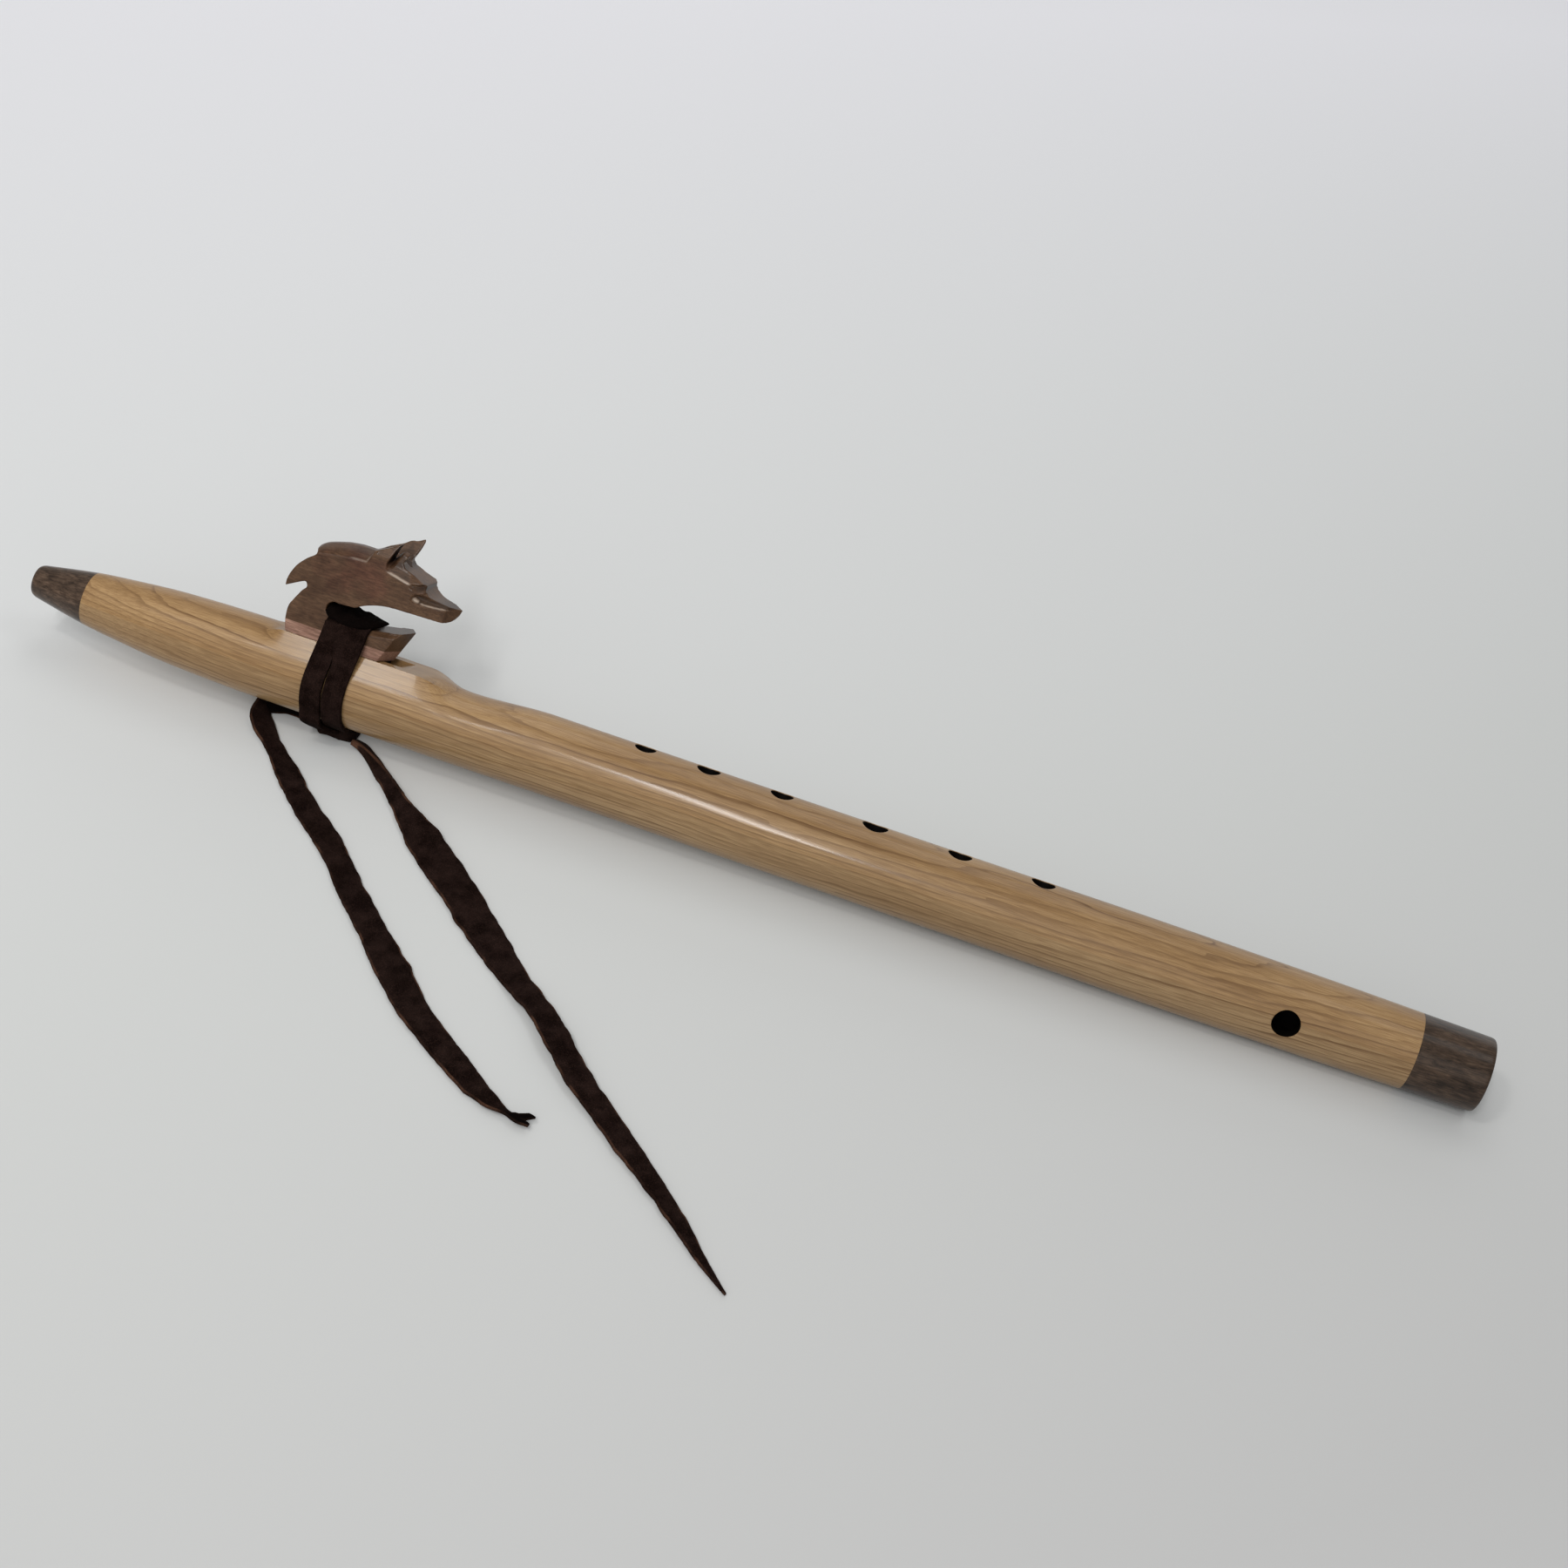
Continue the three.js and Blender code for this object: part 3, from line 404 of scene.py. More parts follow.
def lace_on_table(name, route, widths, tilts, seed, lifts=flat_on_table, bared_edge=no_bared_edge):
    """The strip, its middle line and its length. Tables start with the share of the length."""
    line = smooth_line(np.asarray(route) + knot_corner, ring_step)
    shares = np.linspace(0, 1, len(line))
    ahead = np.gradient(line, axis=0)
    ahead /= np.linalg.norm(ahead, axis=1)[:, None]
    side = np.stack([-ahead[:, 1], ahead[:, 0]], 1)
    left, right, thick = table_at(widths, shares)
    tilt, cup = table_at(tilts, shares)
    (raised,) = table_at(lifts, shares)
    edge_place, edge_half, edge_amount = table_at(bared_edge, shares)
    points, raws, middle = [], [], []
    for k, (x, y) in enumerate(line):
        reach = shares[k] * len(line) * ring_step
        taper = min(1.0, 0.25 + (1 - shares[k]) * len(line) * 0.12)
        half = ragged_halves(reach, seed, taper, left[k], right[k])
        ring = lace_ring(half[0], half[1], thick[k])
        bend = cup[k] * (ring[:, 0] / 5) ** 2
        across, up = ring[:, 0], ring[:, 1] + bend
        c, s = math.cos(tilt[k]), math.sin(tilt[k])
        turned_across, turned_up = across * c - up * s, across * s + up * c
        flutter = 0.35 * noise.noise(Vector((reach * 0.06, seed + 50, 0))) + 0.2
        height = turned_up - turned_up.min() + raised[k] + max(0.0, flutter) * min(1, shares[k] * 9)
        for share, a, h, raw in zip(across / half[1], turned_across, height, ring[:, 2]):
            points.append((x + side[k, 0] * a, y + side[k, 1] * a, h))
            from_edge, half_edge = abs(share - edge_place[k]), edge_half[k]
            near_edge = 1 - smooth_step(from_edge, 0.6 * half_edge, 1.2 * half_edge + 1e-6)
            raws.append(max(0.6 * raw, edge_amount[k] * float(near_edge)))
        middle.append((x, y, float(height.mean())))
    piece = new_piece(name, np.array(points) * mm, skin(len(line), len(ring)), suede)
    mark(piece, raws)
    full_width = np.array(middle[: max(2, len(middle) - tip_rings)])
    length = float(np.linalg.norm(np.diff(full_width, axis=0), axis=1).sum())
    print(name, "length", round(length, 1), "mm up to its thin tip")
    return piece, full_width * mm, length


# %% [markdown]
# The left end starts on its edge, beside the strand that it is folded from, and lies down
# within a few centimetres. One table gives the half widths on both sides and the thickness,
# one the tilt and the hollow across the strip, and one how far it floats over the table.

# %% Left free end
left_widths = [
    (0.0, 3.9, 3.9, 1.4), (0.05, 3.8, 3.8, 1.4), (0.07, 4.2, 4.1, 1.4), (0.095, 4.9, 4.7, 1.4),
    (0.12, 4.2, 4.1, 1.4), (0.145, 3.5, 3.5, 1.4), (0.175, 3.5, 3.6, 1.4), (0.21, 4.1, 4.9, 1.4),
    (0.27, 4.7, 4.7, 1.4), (0.32, 4.7, 4.7, 1.4), (0.37, 4.6, 5.7, 1.4), (0.43, 4.2, 4.9, 1.4),
    (0.48, 5.1, 5.0, 1.4), (0.58, 4.9, 5.4, 1.4), (0.64, 5.9, 6.7, 1.4), (0.69, 5.6, 6.3, 1.4),
    (0.74, 5.9, 5.1, 1.4), (0.85, 4.7, 5.3, 1.4), (0.9, 4.8, 4.1, 1.4), (0.94, 2.9, 2.3, 1.3),
    (0.965, 1.2, 1.1, 1.2), (0.985, 1.5, 1.2, 1.2), (1.0, 0.8, 0.7, 1.0),
]
left_tilts = [
    (0.0, -1.25, 0.0), (0.05, -1.15, 0.0), (0.068, -0.85, 0.1), (0.09, -0.4, 0.2),
    (0.12, -0.15, 0.2), (0.16, 0.0, 0.1), (0.25, 0.05, -0.1), (1.0, 0.0, 0.05),
]
left_lifts = [(0.0, 0.05), (0.9, 0.05), (0.96, 1.4), (1.0, 1.9)]
left_tail, left_line, left_length = lace_on_table(
    "lace_end_left", left_route, left_widths, left_tilts, 3.0, left_lifts
)
left_shares = np.repeat(np.linspace(0, 1, len(left_tail.data.vertices) // ring_points), ring_points)
# Painted shade darkens the last rings of the tip nearly to black.
mark(left_tail, 0.9 * smooth_step(left_shares, 0.95, 0.97), "painted_shade")
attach(left_tail, "flute")
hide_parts("thong_tail_left")

# %% [markdown]
# At its very tip the left end is frayed into two dark prongs. The cord's own tip is the lower
# one. The upper one is a second, very short strip beside it, which is simpler than a notch cut
# into a thin mesh.

# %% Fork at the left tip
prong_route = [(118.6, -154.6), (121.6, -154.6), (124.4, -154.0), (126.6, -153.2), (128.6, -152.6)]
prong_widths = [
    (0.0, 0.5, 0.6, 1.1), (0.3, 1.4, 1.1, 1.1), (0.6, 1.7, 0.9, 1.1), (0.8, 1.0, 1.3, 1.0),
    (1.0, 0.3, 0.3, 0.8),
]
prong_tilts = [(0.0, 0.3, 0.0), (1.0, 0.5, 0.0)]
prong_lifts = [(0.0, 1.4), (1.0, 2.0)]
prong, _, _ = lace_on_table(
    "lace_end_fork", prong_route, prong_widths, prong_tilts, 33.0, prong_lifts
)
# Painted shade darkens the prongs nearly to black.
mark(prong, [0.9] * len(prong.data.vertices), "painted_shade")
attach(prong, "flute")

# %% [markdown]
# The right end leaves the knot twisted, so that for a few centimetres its bared brown edge is
# turned up. A fourth table says where across the strip that edge lies and how bare it is.
# Half way along, the lace arches a few millimetres off the table and casts a thin shadow.

# %% Right free end
right_widths = [
    (0.0, 2.3, 2.3, 2.4), (0.04, 2.6, 2.6, 2.3), (0.09, 2.9, 2.8, 2.1), (0.12, 3.3, 3.1, 1.9),
    (0.155, 4.2, 4.0, 1.7), (0.21, 6.6, 7.0, 1.4), (0.27, 7.1, 7.5, 1.4), (0.32, 6.8, 7.4, 1.4),
    (0.38, 7.1, 6.9, 1.4), (0.44, 6.0, 6.0, 1.4), (0.49, 5.2, 4.9, 1.4), (0.55, 4.0, 5.4, 1.4),
    (0.6, 5.2, 4.7, 1.4), (0.66, 5.4, 4.3, 1.4), (0.72, 4.3, 4.5, 1.4), (0.77, 4.4, 4.3, 1.4),
    (0.83, 3.3, 3.7, 1.4), (0.89, 2.8, 3.1, 1.4), (0.95, 1.9, 1.6, 1.3), (1.0, 0.4, 0.4, 1.0),
]
right_tilts = [
    (0.0, -0.5, 0.0), (0.04, -0.2, 0.0), (0.1, 0.7, 0.2), (0.15, 0.5, 0.2), (0.22, 0.12, 0.0),
    (0.3, 0.0, 0.0), (1.0, 0.0, 0.05),
]
right_edge = [
    (0.0, -0.7, 0.5, 1.7), (0.02, -0.45, 0.45, 1.7), (0.035, 0.0, 0.4, 1.6),
    (0.055, 0.6, 0.35, 1.3), (0.085, 0.85, 0.25, 1.1), (0.15, 1.0, 0.15, 0.7),
    (0.2, 1.0, 0.1, 0.0), (1.0, 1.0, 0.1, 0.0),
]
right_lifts = [
    (0.0, 0.05), (0.47, 0.05), (0.54, 2.6), (0.59, 3.4), (0.65, 2.0), (0.74, 0.8), (0.9, 0.4),
    (1.0, 0.05),
]
right_tail, right_line, right_length = lace_on_table(
    "lace_end_right", right_route, right_widths, right_tilts, 11.0, right_lifts, right_edge
)
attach(right_tail, "flute")
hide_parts("thong_tail_right")

# %% [markdown]
# ## The strand under the flute
# From the knot the left end first runs back under the flute, standing on its edge, and then
# folds forward onto the table. It belongs to the tied part of the lace, so it is a strip of
# its own that ends at the fold.

# %% Strand from the knot to the left free end
strand_route = [
    (-9.5, 2.4), (-14.5, 3.0), (-20.2, 4.7), (-26.0, 6.8), (-31.5, 7.0), (-35.5, 5.2), (-38.6, 4.0),
]
strand_widths = [(0.0, 3.2, 3.2, 1.4), (0.3, 3.7, 3.7, 1.4), (1.0, 4.0, 4.0, 1.4)]
strand_tilts = [(0.0, -1.2, 0.0), (1.0, -1.2, 0.0)]
strand, _, _ = lace_on_table("lace_strand", strand_route, strand_widths, strand_tilts, 21.0)
# Painted shade: the strand stands in the flute's shadow and is darkened nearly to black.
mark(strand, [0.85] * len(strand.data.vertices), "painted_shade")
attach(strand, "flute")

# %% [markdown]
# ## Turned body
# A flute maker glues two hollowed boards together and turns them round. The outline is read as
# shares of the length and of the radius, with a smooth curve between them. The section is
# round except at the nest, the flat under the bird, and at the waist after it.

# %% Outline and section of the body
outline = np.array([
    (0, 0.36), (0.0008, 0.385), (0.003, 0.418), (0.0375, 0.668), (0.06, 0.774), (0.0885, 0.884),
    (0.117, 0.942), (0.1455, 0.977), (0.161, 0.984), (0.2, 0.99), (0.29, 0.99), (0.38, 0.985),
    (0.517, 0.997), (0.688, 1.023), (0.756, 1.032), (0.842, 1.023), (0.899, 1.01), (0.95, 0.984),
    (0.9965, 0.96), (0.9992, 0.948), (1, 0.925),
])
nest_height, nest_half_width = 15.3, 9.3
nest_start, nest_run_in, nest_end, nest_fall = 99, 8, 152, 15
waist_fall, waist_rise, waist_depth = 19, 34, 0.145


def radius_at(x):
    share = np.asarray(x, float) / flute_length
    s, v = outline[:, 0], outline[:, 1]
    slope = np.empty(len(s))
    slope[1:-1] = (v[2:] - v[:-2]) / (s[2:] - s[:-2])
    slope[0], slope[-1] = (v[1] - v[0]) / (s[1] - s[0]), (v[-1] - v[-2]) / (s[-1] - s[-2])
    k = np.clip(np.searchsorted(s, share, side="right") - 1, 0, len(s) - 2)
    run = s[k + 1] - s[k]
    t = (share - s[k]) / run
    return body_radius * (
        v[k] * (2 * t**3 - 3 * t**2 + 1) + slope[k] * run * (t**3 - 2 * t**2 + t)
        + v[k + 1] * (3 * t**2 - 2 * t**3) + slope[k + 1] * run * (t**3 - t**2)
    )


def section_radius(x, angle):
    """Radius of the body at a place and at an angle from the finger holes' side."""
    radius = radius_at(x)
    around = np.abs(angle)
    low = nest_end + waist_fall
    dip = smooth_step(x, nest_end, low) if x < low else 1 - smooth_step(x, low, low + waist_rise)
    rise = radius * (1 - waist_depth * dip)
    oval = 1 / np.hypot(np.cos(angle) / rise, np.sin(angle) / radius)
    nest = smooth_step(x, nest_start - nest_run_in, nest_start)
    nest = nest * (1 - smooth_step(x, nest_end, nest_end + nest_fall))
    corner_angle = math.atan2(nest_half_width, nest_height)
    seat = min(radius / math.hypot(nest_half_width, nest_height), 1)
    tangent = corner_angle + math.acos(seat)
    straight = radius / np.cos(np.minimum(around, tangent) - tangent)
    shoulder = np.where(around < tangent, straight, radius)
    flat = nest_height / np.maximum(np.cos(np.minimum(around, 1.5)), 0.05)
    shaped = oval * (1 - nest) + np.minimum(shoulder, flat) * nest
    return np.where(around >= math.pi / 2, radius, shaped)


print("radius at the bird", round(float(radius_at(nest_start)), 2), "mm")

# %% [markdown]
# Cutting bores and holes is what Blender's Boolean modifier is for. Each cutter is a closed
# mesh, and after the last cut the modifiers are applied and the sharp edges are marked by
# their angle, so that round faces stay smooth.

# %% Cutting helpers
def outward(piece):
    shape = bmesh.new()
    shape.from_mesh(piece.data)
    bmesh.ops.recalc_face_normals(shape, faces=shape.faces)
    shape.to_mesh(piece.data)
    shape.free()
    return piece


def applied(piece):
    """Replaces the mesh by what its modifiers make of it."""
    depsgraph = bpy.context.evaluated_depsgraph_get()
    made = bpy.data.meshes.new_from_object(piece.evaluated_get(depsgraph))
    piece.modifiers.clear()
    piece.data = made
    return piece


def carve(piece, cutters, operation="DIFFERENCE"):
    for cutter in cutters:
        cut = piece.modifiers.new("cut", "BOOLEAN")
        cut.operation = operation
        cut.solver = "MANIFOLD"
        cut.object = cutter
    applied(piece)
    for cutter in cutters:
        bpy.data.objects.remove(cutter)
    return piece


def edges_by_angle(piece, degrees):
    piece.data.shade_smooth()
    piece.data.set_sharp_from_angle(angle=math.radians(degrees))
    return piece


# %% [markdown]
# Two kinds of solids serve as pieces and as cutters: one turned on the flute's axis, as on a
# lathe, and one sawn from a drawn outline, as on a band saw.

# %% Turned and sawn solids
def revolved(name, profile, sides, closed=False, finish=None):
    """A turned piece from (x, radius) pairs; closed joins the last pair to the first."""
    angles = np.linspace(0, 2 * math.pi, sides, endpoint=False)
    rings = [[(x, r * math.sin(a), r * math.cos(a)) for a in angles] for x, r in profile]
    if closed:
        rings.append(rings[0])
    faces = skin(len(rings), sides, not closed)
    points = np.array(rings[: len(profile)]).reshape(-1, 3)
    if closed:
        count = len(points)
        faces = [tuple(v % count for v in face) for face in faces]
    return outward(new_piece(name, on_flute(points), faces, finish))


def prism(name, points, across, up, start, end):
    """A polygon drawn on two of the flute's axes, carried along the third."""
    third = 3 - across - up
    rings = []
    for place in (start, end):
        for a, b in points:
            corner = [0.0, 0.0, 0.0]
            corner[across], corner[up], corner[third] = a, b, place
            rings.append(corner)
    return outward(new_piece(name, on_flute(rings), skin(2, len(points))))


# %% [markdown]
# The finger holes are drilled square to the top, and their edges are only just broken. The
# cutter therefore follows the round surface: its rings are lifted and lowered with the body
# around the hole, and flare a little over the last half millimetre.

# %% Cutters for holes
def hole_cutter(place, diameter, angle):
    sides = 56
    around = np.linspace(0, 2 * math.pi, sides, endpoint=False)
    radius = float(radius_at(place))
    inner_end = np.full(sides, 0.5)
    rings = []
    for grow, lift in ((0, None), (0, -0.7), (0.03, -0.3), (0.14, -0.1), (0.36, 0.03), (0.9, 0.3),
                       (1.4, 3.0)):
        reach = diameter / 2 + grow
        along_x, aside = reach * np.cos(around), reach * np.sin(around)
        height = inner_end if lift is None else np.sqrt(radius**2 - aside**2) + lift
        y = aside * math.cos(angle) - height * math.sin(angle)
        z = aside * math.sin(angle) + height * math.cos(angle)
        rings.append(np.stack([place + along_x, y, z], 1))
    points = np.concatenate(rings)
    return outward(new_piece("hole_cutter", on_flute(points), skin(len(rings), sides)))


def box_cutter(x_from, x_to, half_width, z_from, z_to):
    corners = [(x_from, z_from), (x_to, z_from), (x_to, z_to), (x_from, z_to)]
    return prism("box_cutter", corners, 0, 2, -half_width, half_width)


body_start, body_end = 21.9, 554.9
sound_bore, breath_bore, breath_end = 10.7, 7.25, 112.5
foot_socket_radius, foot_socket_depth = 12.65, 6.15
finger_holes = [(0.4132, 0.893), (0.4568, 0.989), (0.5072, 0.968), (0.5714, 1.097), (0.6298, 1.022),
                (0.6872, 1.022)]
finger_hole_diameter = 9.3
side_hole_place, side_hole_diameter, side_hole_angle = 504.4, 11.0, math.radians(96.5)
flue_start, flue_half_width, flue_depth = 107.5, 5.0, 0.9
sound_hole = (137.5, 142.0)
ramp_start, ramp_end, ramp_depth = 141.5, 147.0, 1.6
print(len(finger_holes), "finger holes")

# %% [markdown]
# The body is two half tubes, split where the two boards are glued, so that each can have its
# own board's grain. Each half is lofted from half sections, set closer together near the
# nest and the holes, where the surface changes fast. Then the bores, the flue under the bird,
# the sound hole with its ramp and the finger holes are cut.

# %% Grid and cutters of a body half
def body_grid(upper):
    """Places along the body and angles round it, from the finger holes' side."""
    places = np.unique(np.round(np.concatenate([
        np.linspace(body_start, 88, 34), np.linspace(88, 206, 119), np.linspace(206, 236, 13),
        np.linspace(236, 408, 173), np.linspace(408, 494, 36), np.linspace(494, 514, 21),
        np.linspace(514, body_end, 18),
    ]), 4))
    if not upper:
        return places, np.radians(np.linspace(90, 270, 67))
    corner = math.degrees(math.atan2(nest_half_width, nest_height))
    flats = np.linspace(-corner, corner, 23)
    sides = np.linspace(corner, 90, 24)[1:]
    return places, np.radians(np.concatenate([-sides[::-1], flats, sides]))


def body_cutters(upper):
    """Bores, socket and side hole, and in the upper half the flue and the holes on top."""
    cutters = [
        revolved("bore", [(start, radius), (end, radius)], 64)
        for start, end, radius in (
            (body_start - 1, breath_end, breath_bore),
            (sound_hole[0], body_end + 1, sound_bore),
            (body_end - foot_socket_depth, body_end + 1, foot_socket_radius),
        )
    ]
    cutters.append(hole_cutter(side_hole_place, side_hole_diameter, side_hole_angle))
    if not upper:
        return cutters
    above, ramp_low = nest_height + 1, nest_height - ramp_depth
    ramp_section = [(ramp_start, ramp_low), (sound_hole[1], ramp_low), (ramp_end, nest_height),
                    (ramp_end, above), (ramp_start, above)]
    cutters += [
        box_cutter(flue_start, breath_end, flue_half_width, -0.5, above),
        box_cutter(flue_start, sound_hole[1], flue_half_width, nest_height - flue_depth, above),
        box_cutter(*sound_hole, flue_half_width, -0.5, above),
        prism("ramp_cutter", ramp_section, 0, 2, -flue_half_width, flue_half_width),
    ]
    for share, size in finger_holes:
        cutters.append(hole_cutter(share * flute_length, size * finger_hole_diameter, 0))
    return cutters


print("sections at", len(body_grid(True)[0]), "places along the body")

# %% [markdown]
# Near the nest the wall's inner faces lie further under the round outline, so there the painted shade starts
# deeper. Elsewhere anything half a millimetre under the surface is inside.

# %% Body halves
under_surface, under_nest = 0.45, 3.2


def paint_shade_inside(half):
    """Gives the faces well under the outer surface the second material slot, which holds the painted shade."""
    count = len(half.data.polygons)
    middles = np.zeros(count * 3)
    half.data.polygons.foreach_get("center", middles)
    local = (middles.reshape(-1, 3) - np.array(mouth_centre)) @ np.array(turn) / mm
    x, reach = local[:, 0], np.hypot(local[:, 1], local[:, 2])
    near_nest = (x > nest_start - 15) & (x < nest_end + waist_fall + waist_rise)
    within = reach < radius_at(x) - np.where(near_nest, under_nest, under_surface)
    half.data.polygons.foreach_set("material_index", within.astype(np.int32))
    half.data.update()
    print(half.name, count, "faces,", int(within.sum()), "of them inside")


def body_half(name, upper, wood, inside):
    places, angles = body_grid(upper)
    wrapped = np.where(angles > math.pi, angles - 2 * math.pi, angles)
    points = []
    for x in places:
        r = section_radius(x, wrapped)
        y, z = r * np.sin(angles), r * np.cos(angles)
        points.append(np.stack([np.full(len(angles), x), y, z], 1))
    faces = skin(len(places), len(angles))
    half = outward(new_piece(name, on_flute(np.concatenate(points)), faces, wood))
    carve(half, body_cutters(upper))
    edges_by_angle(half, 32)
    half.data.materials.clear()
    for finish in (wood, inside):
        half.data.materials.append(finish)
    paint_shade_inside(half)
    return half


# %% [markdown]
# ## Cherry for the body
# Flat-sawn cherry shows long arches on top, where the board's face meets the growth
# rings, and close straight lines on the sides. Painting arches would be slow, so the finish
# builds real rings: the distance from a pith line below the flute, a little bent along it,
# cut into rings. The surface then slices them as a saw does.

# %% Growth rings
pith_y, pith_z, ring_width = 5.0, -36.0, 1.95
bend_middle, bend = 190.0, -0.6


def sum_of(tree, *values):
    total = values[0]
    for value in values[1:]:
        total = work_out(tree, "ADD", total, value)
    return total


def product_of(tree, *values):
    total = values[0]
    for value in values[1:]:
        total = work_out(tree, "MULTIPLY", total, value)
    return total


def distance_from(tree, across, height):
    squares = sum_of(tree, *[work_out(tree, "POWER", value, 2.0) for value in (across, height)])
    return work_out(tree, "SQRT", squares)


def ring_number(tree, place):
    """Growth rings round the pith line, counted outward, with some unevenness."""
    axes = wire(tree, "SeparateXYZ", {0: place}).outputs
    wander = speckle(tree, stretched(tree, place, (0.014, 0.06, 0.06)), 1.0, 2)
    wander = work_out(tree, "MULTIPLY", work_out(tree, "SUBTRACT", wander, 0.5), 5.0)
    across = work_out(tree, "SUBTRACT", axes["Y"], pith_y)
    height = work_out(tree, "SUBTRACT", axes["Z"], pith_z)
    distance = distance_from(tree, across, height)
    uneven = speckle(tree, wire(tree, "CombineXYZ", {0: distance}).outputs[0], 0.3, 1)
    uneven = work_out(tree, "MULTIPLY", uneven, 4.0)
    away = work_out(tree, "DIVIDE", work_out(tree, "SUBTRACT", axes["X"], bend_middle), 100.0)
    bent = product_of(tree, away, away, bend)
    ripple = speckle(tree, stretched(tree, place, (0.05, 0.25, 0.25)), 1.0, 2)
    ripple = work_out(tree, "MULTIPLY", ripple, 1.1)
    total = sum_of(tree, distance, uneven, bent, ripple, wander)
    return work_out(tree, "DIVIDE", total, ring_width)


print("growth rings are about", ring_width, "mm wide")

# %% [markdown]
# Each ring ends in a darker line of late wood. Where the surface meets the rings at a flat
# angle, on top, a line would smear out, so its width is set by how steep the surface is
# there. Clouds, fibres and pores along the grain are laid over it, and an oiled coat on top.

# %% Cherry finish
def cherry_finish(name, warm):
    finish, tree, shader = new_finish(name, 0.36)
    place = flute_millimetres(tree)
    rings = ring_number(tree, place)
    within = work_out(tree, "FRACT", rings)
    number = work_out(tree, "FLOOR", rings)
    strength = wire(tree, "TexWhiteNoise", {"W": number}, noise_dimensions="1D").outputs["Value"]
    axes = wire(tree, "SeparateXYZ", {0: place}).outputs
    steepness = work_out(tree, "DIVIDE", work_out(tree, "ABSOLUTE", axes["Y"]),
                         distance_from(tree, axes["Y"], axes["Z"]))
    steepness = work_out(tree, "MAXIMUM", steepness, 0.2)
    before_line = work_out(tree, "DIVIDE", work_out(tree, "SUBTRACT", 1.0, within), steepness)
    line = ramp(tree, before_line, [(0.0, 1.0), (0.14, 1.0), (0.36, 0.28), (0.8, 0.0)])
    fade = speckle(tree, stretched(tree, place, (0.02, 0.12, 0.12)), 1.0, 2)
    fade = ramp(tree, fade, [(0.35, 0.55), (0.6, 1.0)])
    strength = work_out(tree, "ADD", work_out(tree, "MULTIPLY", strength, 0.75), 0.4)
    lines = product_of(tree, line, fade, strength, 0.8)
    cloud = speckle(tree, stretched(tree, place, (0.009, 0.11, 0.11)), 1.0, 3)
    board = ramp(tree, cloud, [(0.32, warm[0]), (0.68, warm[1])])
    fibre = speckle(tree, stretched(tree, place, (0.11, 3.2, 3.2)), 1.0, 3, 0.6)
    fibre_tone = ramp(tree, fibre, [(0.35, 0.18), (0.65, 0.75)])
    fibred = blend_colours(tree, 0.45, board, fibre_tone, "SOFT_LIGHT")
    darkened = blend_colours(tree, lines, fibred, (0.11, 0.052, 0.02))
    pores = speckle(tree, stretched(tree, place, (0.45, 5.5, 5.5)), 1.0, 1)
    pores = ramp(tree, pores, [(0.66, 0.0), (0.72, 1.0)])
    pores = work_out(tree, "MULTIPLY", pores, 0.22)
    pored = blend_colours(tree, pores, darkened, (0.16, 0.085, 0.045))
    # Painted light: the colour is brightened by up to a fifth towards the mouth end.
    painted_light_to_mouth = wire(tree, "MapRange", {"Value": axes["X"], "From Min": 40.0, "From Max": 330.0,
                                      "To Min": 1.2, "To Max": 1.0}).outputs[0]
    painted_light_to_mouth = wire(tree, "CombineXYZ", {axis: painted_light_to_mouth for axis in range(3)}).outputs[0]
    with_painted_light = blend_colours(tree, 1.0, pored, painted_light_to_mouth, "MULTIPLY")
    tree.links.new(with_painted_light, shader.inputs["Base Color"])
    rough = work_out(tree, "ADD", work_out(tree, "MULTIPLY", fibre, 0.16), 0.3)
    tree.links.new(rough, shader.inputs["Roughness"])
    bump = wire(tree, "Bump", {"Height": fibre, "Strength": 0.12, "Distance": 0.0002})
    tree.links.new(bump.outputs[0], shader.inputs["Normal"])
    shader.inputs["IOR"].default_value = 1.24
    shader.inputs["Coat Weight"].default_value = 0.4
    shader.inputs["Coat Roughness"].default_value = 0.13
    shader.inputs["Coat IOR"].default_value = 1.4
    return finish


cherry_upper = cherry_finish("cherry_upper", ((0.235, 0.133, 0.054), (0.34, 0.212, 0.1)))
cherry_lower = cherry_finish("cherry_lower", ((0.235, 0.143, 0.066), (0.33, 0.216, 0.11)))
print(cherry_upper.name, "has", len(cherry_upper.node_tree.nodes), "nodes")

# %% [markdown]
# Inside the bores and holes no light reaches, so their walls get painted shade: a near-black, dull finish. With
# that last finish ready, both halves can be made.

# %% Painted shade inside, and the two halves
def painted_shade_finish():
    """Near-black painted shade on the walls of the bores and holes."""
    finish, tree, shader = new_finish("painted_shade_inside", 0.55)
    place = flute_millimetres(tree)
    streaks = speckle(tree, stretched(tree, place, (0.08, 1.5, 1.5)), 1.0, 3)
    # Painted shade: near black, with faint streaks.
    tree.links.new(
        ramp(tree, streaks, [(0.3, (0.001, 0.0008, 0.0007)), (0.7, (0.005, 0.0032, 0.0024))]),
        shader.inputs["Base Color"],
    )
    shader.inputs["Specular IOR Level"].default_value = 0.08
    return finish


inside_shade_finish = painted_shade_finish()
for name, upper, wood, node in (("flute_body_upper", True, cherry_upper, "body_upper_half"),
                                ("flute_body_lower", False, cherry_lower, "body_lower_half")):
    half = body_half(name, upper, wood, inside_shade_finish)
    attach(half, "flute")
    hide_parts(node)

# %% [markdown]
# ## Walnut end caps
# Both caps are turned with the body from a darker wood and share its outline, so the
# joint is a plain line. They could stay the CAD's facets, but more sides give the ends the
# clean round edge of a turned piece. Walnut is mottled, with fine dark pores along the grain.
# The same finish serves the bird, with a reddish heart in the middle of its block, painted shade in the hollows
# and painted highlights on the ridges.

# %% Tones of the carved wood
heart_reach = (27.0, 15.0)


